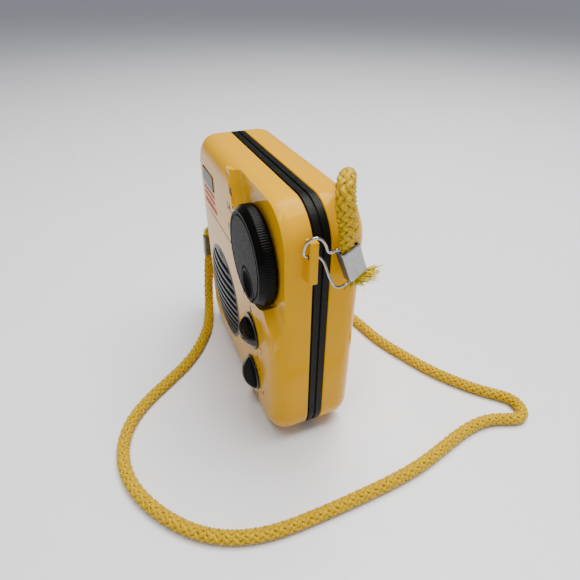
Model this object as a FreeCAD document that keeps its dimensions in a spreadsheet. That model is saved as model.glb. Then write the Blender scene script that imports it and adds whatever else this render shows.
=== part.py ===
import FreeCAD, Part
import math
import os
import re

import Sketcher
from FreeCAD import Placement, Rotation, Vector

# Pocket radio on a neck cord. Millimetres. The origin is the centre of the case's bottom, +Z is up,
# the front panel faces -Y and the right-hand side faces +X.
doc = FreeCAD.newDocument("PocketRadio")

# ---------------------------------------------------------------- driving dimensions
DIMENSIONS = {
    # case
    "case_wide": 106, "case_tall": 110, "case_deep": 36, "case_corner": 16, "case_round": 8,
    "wall": 2.2, "parting_front": -3.4, "parting_rear": 3.1, "edge_break": 0.5,
    # rubber band between the shells
    "band_thick": 3.2, "band_inset": 0.6, "bead_wide": 2.2, "bead_edge": 0.6,
    # tuning recess and knob
    "knob_at_x": 29.4, "knob_at_z": 84.2, "recess_deep": 4.5, "recess_rad": 20.7, "cove_rad": 8,
    "floor_thick": 2.2, "left_wall_x": 7.76, "left_wall_z": 95.1, "left_wall_angle": 115.5,
    "low_wall_x": 40.7, "low_wall_z": 67.0, "low_wall_angle": -43.5,
    "knob_rad": 19.25, "knob_face_rad": 17.3, "knob_proud": 2.6, "knob_bevel": 2.3,
    "knob_thick": 6.3, "knob_hub_rad": 4.5, "tuning_shaft_rad": 3, "knob_skin": 1.8,
    "dimple_off_x": 3.0, "dimple_off_z": -10.0, "dimple_rad": 5.5, "dimple_deep": 2.2,
    "capacitor_side": 20, "capacitor_front": -10.9,
    # small knobs
    "pointer_disc_rad": 8.25, "pointer_disc_thick": 0.8, "pointer_fin_long": 15.6,
    "pointer_fin_tall": 4.5, "pointer_fin_thick": 3.2, "pointer_gap": 0.25, "pointer_hub_rad": 3.6,
    "small_shaft_rad": 2, "switch_at_x": 26.1, "switch_at_z": 45.8, "switch_turn": -81,
    "volume_at_x": 25.2, "volume_at_z": 20.3, "volume_turn": -28, "control_side": 15,
    "control_front": -13.2, "running_gap": 0.08,
    # speaker and grille
    "speaker_at_x": -18.5, "speaker_at_z": 37.2, "grille_rad": 24.3, "grille_rise": 2.6,
    "grille_thick": 1.4, "grille_seat": 0.8, "slot_pitch": 3.75, "slot_tall": 1.8,
    "slot_reach": 22.4, "speaker_rad": 26.3, "speaker_deep": 11.6, "magnet_rad": 12.5,
    "magnet_thick": 5.2, "coil_rad": 6.4, "coil_gap": 0.5, "cone_rad": 21.6,
    "cone_thick": 0.4, "ring_thick": 0.6,
    # circuit board, its screws and its parts
    "board_back": -0.6, "board_thick": 1.6, "board_edge_x": 48, "board_top": 103, "board_low": 8,
    "board_step_x": 9, "board_step_z": 67.5, "pillar_rad": 3.5, "pillar_gap": 0.5,
    "board_post_rad": 2.8, "screw_rad": 1.1, "screw_head_rad": 2.1,
    # case screws
    "case_screw_x": 43, "case_screw_low": 10, "case_screw_high": 100, "case_screw_rad": 1.3,
    "case_screw_head_rad": 2.6, "case_screw_long": 17, "counterbore_floor": 6.6,
    # battery compartment and door
    "cell_rad": 7.1, "cell_long": 50.4, "cell_y": 8.5, "cell_low_z": 22.4, "cell_high_z": 37.4,
    "tray_half": 29, "tray_low": 15, "tray_high": 45.2, "tray_wall": 1.4, "tray_floor": 0.4,
    "door_half": 31.7, "door_top": 48.4, "door_gap": 0.2, "hinge_y": 16.4, "hinge_z": 11.6,
    "hinge_rad": 1.5, "hinge_pin_rad": 0.6, "door_thick": 2.1, "seal_thick": 0.7,
    # ferrite rod aerial
    "rod_rad": 4, "rod_y": 7.4, "rod_z": 92, "rod_left": -38, "rod_right": 24, "winding_rad": 4.9,
    # strap lugs, wire clips and cord
    "lug_out": 57, "lug_tall": 15.5, "lug_front": -6.5, "eye_x": 55, "eye_rise": 10.2,
    "right_lug_z": 85.2, "left_lug_z": 39.8, "eye_rad": 0.9, "lug_round": 0.9, "wire_rad": 0.6,
    "ferrule_wide": 7.7, "ferrule_long": 11.7, "ferrule_thick": 4.4, "ferrule_skin": 0.5,
    "cord_rad": 2.6, "plate_thick": 0.4,
}

sheet = doc.addObject("Spreadsheet::Sheet", "Sizes")
for row, (alias, value) in enumerate(DIMENSIONS.items(), start=1):
    sheet.set(f"A{row}", alias.replace("_", " "))
    sheet.set(f"B{row}", str(value))
    sheet.setAlias(f"B{row}", alias)
doc.recompute()


def size(alias):
    """A driving dimension read back from the sheet."""
    return float(getattr(sheet, alias))


def linked(text):
    """An expression whose dimension names point at the sheet's cells."""
    return re.sub(r"[a-z][a-z_]+", lambda m: "Sizes." + m.group() if m.group() in DIMENSIONS
                  else m.group(), str(text))


def bind(thing, path, text):
    thing.setExpression(path, linked(text))


def bind_place(thing, x=0, y=0, z=0):
    for axis, text in zip("xyz", (x, y, z)):
        bind(thing, f".Placement.Base.{axis}", text)


# ---------------------------------------------------------------- primitives and booleans
def block(name, x, y, z):
    """A box; x, y and z are (low, high) pairs of expressions."""
    made = doc.addObject("Part::Box", name)
    for prop, (low, high) in (("Length", x), ("Width", y), ("Height", z)):
        bind(made, prop, f"({high}) - ({low})")
    bind_place(made, x[0], y[0], z[0])
    return made


AXIS_TURN = {"x": Rotation(Vector(0, 1, 0), 90), "y": Rotation(Vector(1, 0, 0), -90), "z": Rotation()}


def rod(name, axis, radius, span, x=0, y=0, z=0):
    """A cylinder along a frame axis; span is its (low, high) along that axis."""
    made = doc.addObject("Part::Cylinder", name)
    bind(made, "Radius", radius)
    bind(made, "Height", f"({span[1]}) - ({span[0]})")
    made.Placement = Placement(Vector(), AXIS_TURN[axis])
    start = {"x": x, "y": y, "z": z}
    start[axis] = span[0]
    bind_place(made, **start)
    return made


def join(name, *pieces):
    made = doc.addObject("Part::MultiFuse", name)
    made.Shapes = list(pieces)
    return made


def cut(name, base, *tools):
    made = doc.addObject("Part::Cut", name)
    made.Base = base
    made.Tool = tools[0] if len(tools) == 1 else join(name + "_tools", *tools)
    return made


def overlap(name, *pieces):
    made = doc.addObject("Part::MultiCommon", name)
    made.Shapes = list(pieces)
    return made


def group(name, *pieces):
    made = doc.addObject("Part::Compound", name)
    made.Links = list(pieces)
    return made


# ---------------------------------------------------------------- sketched bodies
def new_body(name):
    return doc.addObject("PartDesign::Body", name)


def polygon_sketch(body, name, plane, points, offset=0):
    """A closed sketch through points given as (across, up) expressions, on one of the body's planes."""
    sketch = body.newObject("Sketcher::SketchObject", name)
    plane_object = next(o for o in body.Origin.OriginFeatures if o.Role == plane)
    sketch.AttachmentSupport = [(plane_object, "")]
    sketch.MapMode = "FlatFace"
    bind(sketch, ".AttachmentOffset.Base.z", offset)
    values = [tuple(numeric(text) for text in point) for point in points]
    corners = [Vector(across, up, 0) for across, up in values]
    for start, end in zip(corners, corners[1:] + corners[:1]):
        sketch.addGeometry(Part.LineSegment(start, end), False)
    count = len(points)
    for i in range(count):
        sketch.addConstraint(Sketcher.Constraint("Coincident", i, 2, (i + 1) % count, 1))
    for i, point in enumerate(points):
        for kind, text, value in zip(("DistanceX", "DistanceY"), point, values[i]):
            index = sketch.addConstraint(Sketcher.Constraint(kind, -1, 1, i, 1, value))
            label = f"{kind[-1].lower()}_of_corner_{i}"
            sketch.renameConstraint(index, label)
            bind(sketch, f"Constraints.{label}", text)
    return sketch


def numeric(text):
    """The present value of an expression of driving dimensions."""
    names = {alias: size(alias) for alias in DIMENSIONS if re.search(rf"\b{alias}\b", str(text))}
    value = str(text)
    for alias in sorted(names, key=len, reverse=True):
        value = re.sub(rf"\b{alias}\b", f"({names[alias]})", value)
    return float(FreeCAD.Units.Quantity(value).Value)


def pad(body, sketch, length):
    made = body.newObject("PartDesign::Pad", sketch.Name + "_pad")
    made.Profile = sketch
    bind(made, "Length", length)
    doc.recompute()
    return made


def rounded(body, name, radius, chosen):
    """A fillet on the edges of the body's tip that chosen(edge) picks."""
    tip = body.Tip
    names = [f"Edge{i}" for i, edge in enumerate(tip.Shape.Edges, start=1) if chosen(edge)]
    made = body.newObject("PartDesign::Fillet", name)
    made.Base = (tip, names)
    bind(made, "Radius", radius)
    doc.recompute()
    return made


def upright(edge):
    """True for a straight edge along Y."""
    ends = [v.Point for v in edge.Vertexes]
    return len(ends) == 2 and abs(abs(ends[0].y - ends[1].y) - (ends[0] - ends[1]).Length) < 1e-6 \
        and (ends[0] - ends[1]).Length > 1e-3


def in_plane(depth):
    """Picks edges lying in the plane at that Y."""
    return lambda edge: all(abs(v.Point.y - depth) < 1e-4 for v in edge.Vertexes)


def frame_corners(inset):
    """The corners of the case's outline, moved inwards by inset."""
    side = f"case_wide / 2 - ({inset})"
    top = f"case_tall - ({inset})"
    return [(f"-({side})", inset), (side, inset), (side, top), (f"-({side})", top)]


def outline_slab(name, inset, low, high):
    """A slab of the case's outline, moved inwards by inset, between two depths."""
    body = new_body(name)
    sketch = polygon_sketch(body, name + "_outline", "XZ_Plane", frame_corners(inset), f"-({high})")
    pad(body, sketch, f"({high}) - ({low})")
    rounded(body, name + "_corners", f"case_corner - ({inset})", upright)
    return body


def shell_blank(name, side, parting):
    """Half of the case as an open tray, with rounded corners and a rounded rim; side is -1 for the front."""
    outer_face = size("case_deep") / 2 * side
    inner_face = outer_face - size("wall") * side
    span = ["case_deep / 2", parting] if side > 0 else ["-case_deep / 2", parting]
    low, high = span if side < 0 else span[::-1]
    body = outline_slab(name + "_blank", 0, low, high)
    rounded(body, name + "_rim", "case_round", in_plane(outer_face))
    rounded(body, name + "_edge_break", "edge_break", in_plane(size(parting)))
    inner = f"{span[0]} - {side} * wall"
    past = f"{parting} - {side}"
    low, high = (inner, past) if side < 0 else (past, inner)
    hollow = outline_slab(name + "_hollow", "wall", low, high)
    rounded(hollow, name + "_hollow_rim", "case_round - wall", in_plane(inner_face))
    return cut(name, body, hollow)


def turned(name, profile, x, z, turn=0):
    """A body turned about an axis along Y at (x, z); the profile is (radius, depth) expressions."""
    body = new_body(name)
    sketch = polygon_sketch(body, name + "_profile", "XY_Plane", profile)
    made = body.newObject("PartDesign::Revolution", name + "_turned")
    made.Profile = sketch
    made.ReferenceAxis = (sketch, ["V_Axis"])
    made.Angle = 360
    body.Placement = Placement(Vector(), Rotation(Vector(0, 1, 0), turn))
    bind_place(body, x, 0, z)
    doc.recompute()
    return body


# ---------------------------------------------------------------- tuning recess
def corner_scoop(name, shrink):
    """The recess that opens through the top and the right side, a prism with two coved ends.
    A positive shrink moves both end walls outwards, which gives the pan that backs the recess."""
    left = math.radians(size("left_wall_angle"))
    low = math.radians(size("low_wall_angle"))
    left_point = Vector(size("left_wall_x") - shrink * math.sin(left), 0,
                        size("left_wall_z") + shrink * math.cos(left))
    low_point = Vector(size("low_wall_x") + shrink * math.sin(low), 0,
                       size("low_wall_z") - shrink * math.cos(low))
    reach = 30
    left_end = left_point + Vector(math.cos(left), 0, math.sin(left)) * reach
    low_end = low_point + Vector(math.cos(low), 0, math.sin(low)) * reach
    back = -size("case_deep") / 2 + size("recess_deep")
    corners = [left_point, low_point, low_end, Vector(low_end.x, 0, left_end.z), left_end]
    wire = Part.makePolygon([Vector(p.x, back, p.z) for p in corners + corners[:1]])
    solid = Part.Face(wire).extrude(Vector(0, -2.2 * size("cove_rad"), 0))
    walls = [(left_point, left_end), (low_point, low_end)]
    edges = [e for e in solid.Edges for a, b in walls
             if (e.CenterOfMass - Vector((a.x + b.x) / 2, back, (a.z + b.z) / 2)).Length < 1e-3]
    made = doc.addObject("Part::Feature", name)
    made.Shape = solid.makeFillet(size("cove_rad"), edges)
    return made


def recess_pan():
    """The wall that follows the recess inside the case."""
    back = "-case_deep / 2 + recess_deep + floor_thick"
    front = "-case_deep / 2 + wall / 2"
    ring = rod("pan_ring", "y", "recess_rad + wall", (front, back), x="knob_at_x", z="knob_at_z")
    scoop = corner_scoop("pan_scoop", size("wall"))
    scoop.Placement = Placement(Vector(0, size("floor_thick"), 0), Rotation())
    bounds = outline_slab("pan_bounds", "wall * 0.8", front, back)
    return overlap("recess_pan", join("pan_shape", ring, scoop), bounds)


def recess_cutters():
    front = "-case_deep / 2 - 1"
    floor = "-case_deep / 2 + recess_deep"
    well = rod("recess_well", "y", "recess_rad", (front, floor), x="knob_at_x", z="knob_at_z")
    return [well, corner_scoop("recess_scoop", 0)]


# ---------------------------------------------------------------- case
CASE_SCREWS = [(side, height) for side in ("-case_screw_x", "case_screw_x")
               for height in ("case_screw_low", "case_screw_high")]
BOARD_SCREWS = [("-38", "75"), ("0", "75"), ("42", "33")]


def lug(name, side, low):
    """A strap lug moulded on the side of the front shell, flush with its parting face."""
    body = new_body(name)
    inner, outer = f"{side} * (case_wide / 2 - 0.6)", f"{side} * lug_out"
    high = f"{low} + lug_tall"
    sketch = polygon_sketch(body, name + "_outline", "XZ_Plane",
                            [(inner, low), (outer, low), (outer, high), (inner, high)], "-parting_front")
    pad(body, sketch, "parting_front - lug_front")
    far = side * size("lug_out")
    rounded(body, name + "_rounding", "lug_round",
            lambda edge: all(abs(v.Point.x - far) < 1e-6 for v in edge.Vertexes))
    return body


def lug_eye(name, side, low):
    sign = "-" if side < 0 else ""
    return rod(name, "y", "eye_rad", ("lug_front - 2", "parting_front + 2"), x=f"{sign}eye_x",
               z=f"{low} + eye_rise")


def front_shell():
    blank = shell_blank("front_tray", -1, "parting_front")
    inner = "-case_deep / 2 + wall / 2"
    solids = [blank, recess_pan()]
    solids += [lug("right_lug", 1, "right_lug_z"), lug("left_lug", -1, "left_lug_z")]
    for i, (x, z) in enumerate(CASE_SCREWS):
        solids.append(rod(f"screw_pillar_{i}", "y", "pillar_rad", (inner, "parting_rear"), x=x, z=z))
    for i, (x, z) in enumerate(BOARD_SCREWS):
        solids.append(rod(f"board_post_{i}", "y", "board_post_rad",
                          (inner, "board_back - board_thick"), x=x, z=z))
    through = ("-case_deep / 2 - 1", "-case_deep / 2 + wall + 1")
    tools = recess_cutters()
    tools.append(rod("tuning_hole", "y", "knob_hub_rad + running_gap",
                     ("-case_deep / 2", "-case_deep / 2 + recess_deep + floor_thick + 1"),
                     x="knob_at_x", z="knob_at_z"))
    tools.append(rod("switch_hole", "y", "pointer_hub_rad + running_gap", through,
                     x="switch_at_x", z="switch_at_z"))
    tools.append(rod("volume_hole", "y", "pointer_hub_rad + running_gap", through,
                     x="volume_at_x", z="volume_at_z"))
    tools.append(rod("grille_hole", "y", "grille_rad - 1.2", through,
                     x="speaker_at_x", z="speaker_at_z"))
    tools.append(rod("grille_rebate", "y", "grille_rad", ("-case_deep / 2 - 1", "-case_deep / 2 + grille_seat"),
                     x="speaker_at_x", z="speaker_at_z"))
    for i, (x, z) in enumerate(CASE_SCREWS):
        tools.append(rod(f"pillar_bore_{i}", "y", "case_screw_rad",
                         ("counterbore_floor - case_screw_long", "parting_rear + 1"), x=x, z=z))
    for i, (x, z) in enumerate(BOARD_SCREWS):
        tools.append(rod(f"post_bore_{i}", "y", "screw_rad", ("board_back - 8", "board_back"), x=x, z=z))
    tools += [lug_eye("right_eye", 1, "right_lug_z"), lug_eye("left_eye", -1, "left_lug_z")]
    return cut("front_shell", join("front_solids", *solids), *tools)


def rear_shell():
    """The back of the case, with the battery tray and the four screw sleeves."""
    blank = shell_blank("rear_tray", 1, "parting_rear")
    wall_y = "case_deep / 2 - wall / 2"
    solids = [blank]
    solids.append(block("tray_block", ("-tray_half - tray_wall", "tray_half + tray_wall"),
                        ("tray_floor", wall_y), ("tray_low - tray_wall", "tray_high + tray_wall")))
    solids.append(block("door_ledge", ("-door_half - 2", "door_half + 2"), ("12.8", wall_y),
                        ("hinge_z - hinge_rad - 0.3 - wall", "door_top + 2")))
    for i, (x, z) in enumerate(CASE_SCREWS):
        solids.append(rod(f"screw_sleeve_{i}", "y", "pillar_rad", ("parting_rear", wall_y), x=x, z=z))
    opening = ("-door_half - door_gap", "door_half + door_gap")
    ledge_y = "case_deep / 2 - door_thick - seal_thick"
    tools = [block("tray_hollow", ("-tray_half", "tray_half"), ("tray_floor + 0.9", "case_deep / 2 + 1"),
                   ("tray_low", "tray_high"))]
    tools.append(block("door_opening", opening, (ledge_y, "case_deep / 2 + 1"),
                       ("hinge_z - hinge_rad - 0.3", "door_top + door_gap")))
    tools.append(block("hinge_room", opening, ("hinge_y - hinge_rad - 0.2", "case_deep / 2 + 1"),
                       ("hinge_z - hinge_rad - 0.3", "hinge_z + hinge_rad + 0.2")))
    tools.append(rod("hinge_seat", "x", "hinge_pin_rad", ("-door_half - 1.6", "door_half + 1.6"),
                     y="hinge_y", z="hinge_z"))
    for i, (x, z) in enumerate(CASE_SCREWS):
        tools.append(rod(f"sleeve_bore_{i}", "y", "case_screw_rad + 0.2", ("0", "10"), x=x, z=z))
        tools.append(rod(f"sleeve_counterbore_{i}", "y", "case_screw_head_rad + 0.3",
                         ("counterbore_floor", "case_deep / 2 + 1"), x=x, z=z))
    return cut("rear_shell", join("rear_solids", *solids), *tools)


def gasket_band():
    """A rubber band between the shells with two raised beads, and a clear hole for each pillar."""
    low, high = "parting_front", "parting_rear"
    core = outline_slab("band_core", "band_inset", low, high)
    first = outline_slab("band_front_bead", 0, f"{low} + bead_edge", f"{low} + bead_edge + bead_wide")
    second = outline_slab("band_rear_bead", 0, f"{high} - bead_edge - bead_wide", f"{high} - bead_edge")
    inside = outline_slab("band_inside", "band_thick", f"{low} - 1", f"{high} + 1")
    return cut("gasket_band", join("band_solids", core, first, second), inside)


def name_plate():
    return block("name_plate", ("-40", "-22"), ("-case_deep / 2 - plate_thick", "-case_deep / 2"),
                 ("89", "96"))


# ---------------------------------------------------------------- knobs and their controls
def tuning_knob():
    face = "-case_deep / 2 - knob_proud"
    back = f"{face} + knob_thick"
    profile = [("0", face), ("knob_face_rad", face), ("knob_rad", f"{face} + knob_bevel"),
               ("knob_rad", back), ("knob_rad - knob_skin", back),
               ("knob_rad - knob_skin", f"{face} + knob_bevel + knob_skin"),
               ("knob_hub_rad", f"{face} + knob_bevel + knob_skin"),
               ("knob_hub_rad", "capacitor_front - 0.6"), ("tuning_shaft_rad", "capacitor_front - 0.6"),
               ("tuning_shaft_rad", f"{face} + 1.6"), ("0", f"{face} + 1.6")]
    wheel = turned("tuning_wheel", profile, "knob_at_x", "knob_at_z")
    bowl = doc.addObject("Part::Sphere", "dimple_bowl")
    bowl_rad = "(dimple_rad ^ 2 + dimple_deep ^ 2) / (2 * dimple_deep)"
    bind(bowl, "Radius", bowl_rad)
    bind_place(bowl, "knob_at_x + dimple_off_x", f"{face} + dimple_deep - {bowl_rad}",
               "knob_at_z + dimple_off_z")
    return cut("tuning_knob", wheel, bowl)


def tuning_shaft():
    return rod("tuning_shaft", "y", "tuning_shaft_rad",
               ("-case_deep / 2 - knob_proud + 1.6", "capacitor_front"), x="knob_at_x", z="knob_at_z")


def tuning_capacitor():
    half = "capacitor_side / 2"
    body = block("tuning_capacitor", (f"knob_at_x - {half}", f"knob_at_x + {half}"),
                 ("capacitor_front", "board_back - board_thick"),
                 (f"knob_at_z - {half}", f"knob_at_z + {half}"))
    return body


def pointer_knob(name, x, z, turn):
    """A disc with a D-shaped fin across it and a hub that runs through the front wall."""
    disc_back = "-case_deep / 2 - pointer_gap"
    disc_face = f"{disc_back} - pointer_disc_thick"
    hub_back = "control_front - 0.4"
    chord = "(pointer_fin_long ^ 2 / 4 + pointer_fin_tall ^ 2) / (2 * pointer_fin_tall)"
    profile = [("0", disc_face), ("pointer_disc_rad", disc_face), ("pointer_disc_rad", disc_back),
               ("pointer_hub_rad", disc_back), ("pointer_hub_rad", hub_back), ("0", hub_back)]
    disc = turned(name + "_disc", profile, 0, 0)
    round_fin = rod(name + "_round", "x", chord, ("-pointer_fin_thick / 2", "pointer_fin_thick / 2"),
                    y=f"{disc_face} - pointer_fin_tall + {chord}")
    keep = block(name + "_keep", ("-5", "5"), (f"{disc_face} - 10", f"{disc_face} + 0.3"), ("-12", "12"))
    fin = overlap(name + "_fin", round_fin, keep)
    bore = rod(name + "_bore", "y", "small_shaft_rad", (f"{disc_face} + 0.3", f"{hub_back} + 1"))
    made = cut(name, join(name + "_solids", disc, fin), bore)
    made.Placement = Placement(Vector(), Rotation(Vector(0, 1, 0), size(turn)))
    bind_place(made, x, 0, z)
    return made


def small_shaft(name, x, z):
    return rod(name, "y", "small_shaft_rad",
               ("-case_deep / 2 - pointer_gap - pointer_disc_thick + 0.3", "control_front"), x=x, z=z)


def band_switch():
    half = "control_side / 2"
    return block("band_switch", (f"switch_at_x - {half}", f"switch_at_x + {half}"),
                 ("control_front", "board_back - board_thick"),
                 (f"switch_at_z - {half}", f"switch_at_z + {half}"))


def volume_control():
    can = rod("volume_can", "y", "control_side / 2 + 0.6", ("control_front", "-6"),
              x="volume_at_x", z="volume_at_z")
    foot = block("volume_foot", ("volume_at_x - 6", "volume_at_x + 6"), ("-6.2", "board_back - board_thick"),
                 ("volume_at_z - 7", "volume_at_z + 7"))
    return join("volume_control", can, foot)


# ---------------------------------------------------------------- speaker
def speaker_grille():
    """A gently domed disc with level louvre slots, seated in a rebate of the front panel."""
    seat = "-case_deep / 2 + grille_seat"
    rim = "-case_deep / 2 - 0.3"
    ball = "(grille_rad ^ 2 + grille_rise ^ 2) / (2 * grille_rise)"
    dome = doc.addObject("Part::Sphere", "grille_ball")
    bind(dome, "Radius", ball)
    bind_place(dome, "speaker_at_x", f"{rim} - grille_rise + {ball}", "speaker_at_z")
    drum = rod("grille_drum", "y", "grille_rad", ("-case_deep / 2 - 4", seat), x="speaker_at_x", z="speaker_at_z")
    cap = overlap("grille_cap", dome, drum)
    hollow_ball = doc.addObject("Part::Sphere", "grille_hollow_ball")
    bind(hollow_ball, "Radius", f"{ball} - grille_thick")
    bind_place(hollow_ball, "speaker_at_x", f"{rim} - grille_rise + {ball}", "speaker_at_z")
    hollow_drum = rod("grille_hollow_drum", "y", "grille_rad - 1.4", ("-case_deep / 2 - 4", "0"),
                      x="speaker_at_x", z="speaker_at_z")
    hollow = overlap("grille_hollow", hollow_ball, hollow_drum)
    tools = [hollow]
    for i in range(-4, 5):
        middle = f"speaker_at_z + {i} * slot_pitch"
        reach = math.sqrt(size("slot_reach") ** 2 - (abs(i) * size("slot_pitch") + 1) ** 2)
        tools.append(block(f"grille_slot_{i + 4}", (f"speaker_at_x - {reach:.2f}", f"speaker_at_x + {reach:.2f}"),
                           ("-case_deep / 2 - 4", "-case_deep / 2 + 2"),
                           (f"{middle} - slot_tall / 2", f"{middle} + slot_tall / 2")))
    return cut("speaker_grille", cap, *tools)


SPEAKER_FRONT = "-case_deep / 2 + wall + ring_thick"
SPEAKER_BACK = f"{SPEAKER_FRONT} + speaker_deep"
MAGNET_FRONT = f"{SPEAKER_BACK} - magnet_thick"


def speaker_ring():
    return turned("speaker_ring", [("cone_rad + 0.4", "-case_deep / 2 + wall"), ("speaker_rad", "-case_deep / 2 + wall"),
                                   ("speaker_rad", SPEAKER_FRONT), ("cone_rad + 0.4", SPEAKER_FRONT)],
                  "speaker_at_x", "speaker_at_z")


def speaker_frame():
    """A pressed basket: a flat rim, a sloping side and a plate that holds the magnet."""
    inner, outer = "cone_rad + 0.4", "cone_rad + 1.2"
    profile = [(inner, SPEAKER_FRONT), ("speaker_rad", SPEAKER_FRONT),
               ("speaker_rad", f"{SPEAKER_FRONT} + 0.8"), (outer, f"{SPEAKER_FRONT} + 0.8"),
               (outer, f"{SPEAKER_FRONT} + 2.1"), ("magnet_rad", MAGNET_FRONT),
               ("coil_rad + coil_gap", MAGNET_FRONT), ("coil_rad + coil_gap", f"{MAGNET_FRONT} - 0.8"),
               ("magnet_rad - 0.4", f"{MAGNET_FRONT} - 0.8"), (inner, f"{SPEAKER_FRONT} + 1.8")]
    return turned("speaker_frame", profile, "speaker_at_x", "speaker_at_z")


def speaker_magnet():
    """A magnet pot with a ring-shaped gap for the voice coil."""
    profile = [("0", f"{MAGNET_FRONT} - 0.6"), ("coil_rad - 1.1", f"{MAGNET_FRONT} - 0.6"),
               ("coil_rad - 1.1", f"{SPEAKER_BACK} - 1.4"), ("coil_rad + coil_gap", f"{SPEAKER_BACK} - 1.4"),
               ("coil_rad + coil_gap", MAGNET_FRONT), ("magnet_rad", MAGNET_FRONT),
               ("magnet_rad", SPEAKER_BACK), ("0", SPEAKER_BACK)]
    return turned("speaker_magnet", profile, "speaker_at_x", "speaker_at_z")


def speaker_cone():
    """A paper cone with its dust cap and the voice coil's sleeve, in one moving piece."""
    rim = f"{SPEAKER_FRONT} + 0.5"
    throat = f"{MAGNET_FRONT} - 2.0"
    profile = [("0", f"{throat} - 1.6"), ("coil_rad - 0.8", f"{throat} - 0.4"), ("coil_rad", throat),
               ("cone_rad - 1.6", rim), ("cone_rad", rim), ("cone_rad", f"{rim} + cone_thick"),
               ("cone_rad - 1.4", f"{rim} + cone_thick"), ("coil_rad", f"{throat} + cone_thick"),
               ("coil_rad", f"{MAGNET_FRONT} + 2.0"), ("coil_rad - 0.5", f"{MAGNET_FRONT} + 2.0"),
               ("coil_rad - 0.5", f"{throat} + 0.2"), ("0", f"{throat} - 1.2")]
    return turned("speaker_cone", profile, "speaker_at_x", "speaker_at_z")


# ---------------------------------------------------------------- electronics
def circuit_board():
    """An L-shaped board across the top and down the right side, cleared round the pillars."""
    body = new_body("board_blank")
    corners = [("board_step_x", "board_low"), ("board_edge_x", "board_low"), ("board_edge_x", "board_top"),
               ("-board_edge_x", "board_top"), ("-board_edge_x", "board_step_z"),
               ("board_step_x", "board_step_z")]
    sketch = polygon_sketch(body, "board_outline", "XZ_Plane", corners, "-board_back")
    pad(body, sketch, "board_thick")
    tools = []
    for i, (x, z) in enumerate(CASE_SCREWS[1:]):
        tools.append(rod(f"board_relief_{i}", "y", "pillar_rad + pillar_gap", ("-4", "1"), x=x, z=z))
    for i, (x, z) in enumerate(BOARD_SCREWS):
        tools.append(rod(f"board_hole_{i}", "y", "screw_rad + 0.1", ("-4", "1"), x=x, z=z))
    corner_cut = outline_slab("board_keep", "wall + 1.5", "-6", "3")
    return overlap("circuit_board", cut("board_drilled", body, *tools), corner_cut)


def screw(name, radius, head_radius, head_tall, x, z, tip, seat):
    """A pan-head screw driven from the back, with a cross slot."""
    shank = rod(name + "_shank", "y", radius, (tip, seat), x=x, z=z)
    head = rod(name + "_head", "y", head_radius, (seat, f"{seat} + {head_tall}"), x=x, z=z)
    slot_y = (f"{seat} + {head_tall} * 0.5", f"{seat} + {head_tall} + 1")
    wide = block(name + "_slot_a", (f"{x} - 1.3", f"{x} + 1.3"), slot_y, (f"{z} - 0.3", f"{z} + 0.3"))
    tall = block(name + "_slot_b", (f"{x} - 0.3", f"{x} + 0.3"), slot_y, (f"{z} - 1.3", f"{z} + 1.3"))
    return cut(name, join(name + "_solid", shank, head), wide, tall)


def board_screws():
    return group("board_screws", *[
        screw(f"board_screw_{i}", "screw_rad", "screw_head_rad", "0.9", x, z, "board_back - 7.5", "board_back")
        for i, (x, z) in enumerate(BOARD_SCREWS)])


def case_screws():
    return group("case_screws", *[
        screw(f"case_screw_{i}", "case_screw_rad", "case_screw_head_rad", "1.8", x, z,
              "counterbore_floor - case_screw_long + 0.5", "counterbore_floor")
        for i, (x, z) in enumerate(CASE_SCREWS)])


BOARD_FACE = "board_back - board_thick"


def coil_cans():
    places = [(-41, 84), (-31, 84), (-21, 84), (-11, 84)]
    return group("coil_cans", *[
        block(f"coil_can_{i}", (f"{x}", f"{x + 7}"), (f"{BOARD_FACE} - 9", BOARD_FACE), (f"{z}", f"{z + 7}"))
        for i, (x, z) in enumerate(places)])


def electrolytic_capacitors():
    places = [(14, 64, 3.2, 10), (43, 52, 3.2, 9), (43, 62, 2.6, 8), (-43, 72, 2.6, 8), (-8, 98, 2.6, 8)]
    return group("electrolytic_capacitors", *[
        rod(f"electrolytic_{i}", "y", f"{r}", (f"{BOARD_FACE} - {tall}", BOARD_FACE), x=f"{x - 2}", z=f"{z}")
        for i, (x, z, r, tall) in enumerate(places)])


def amplifier_chip():
    return block("amplifier_chip", ("11", "29"), (f"{BOARD_FACE} - 3.6", BOARD_FACE), ("31", "37"))


def resistors():
    places = [(-34, 98), (-24, 98), (-30, 80.5), (-18, 80.5), (-12, 72), (-24, 72), (14, 56.5), (26, 56.5)]
    return group("resistors", *[
        rod(f"resistor_{i}", "x", "1.1", (f"{x}", f"{x + 6}"), y=f"{BOARD_FACE} - 1.1", z=f"{z}")
        for i, (x, z) in enumerate(places)])


def ferrite_rod():
    return rod("ferrite_rod", "x", "rod_rad", ("rod_left", "rod_right"), y="rod_y", z="rod_z")


def antenna_coil():
    outer = rod("coil_winding", "x", "winding_rad", ("-20", "4"), y="rod_y", z="rod_z")
    inner = rod("coil_core", "x", "rod_rad", ("-21", "5"), y="rod_y", z="rod_z")
    return cut("antenna_coil", outer, inner)


def rod_holders():
    """Two saddles that stand on the board and hold the ferrite rod."""
    made = []
    for i, x in enumerate((-33, 15)):
        foot = block(f"saddle_{i}", (f"{x}", f"{x + 5}"), ("board_back", "rod_y + rod_rad + 1.2"),
                     ("rod_z - 5.4", "rod_z + 5.4"))
        bore = rod(f"saddle_bore_{i}", "x", "rod_rad", (f"{x - 1}", f"{x + 6}"), y="rod_y", z="rod_z")
        made.append(cut(f"rod_holder_{i}", foot, bore))
    return group("rod_holders", *made)


# ---------------------------------------------------------------- batteries and door
CELLS = ("cell_low_z", "cell_high_z")


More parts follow.
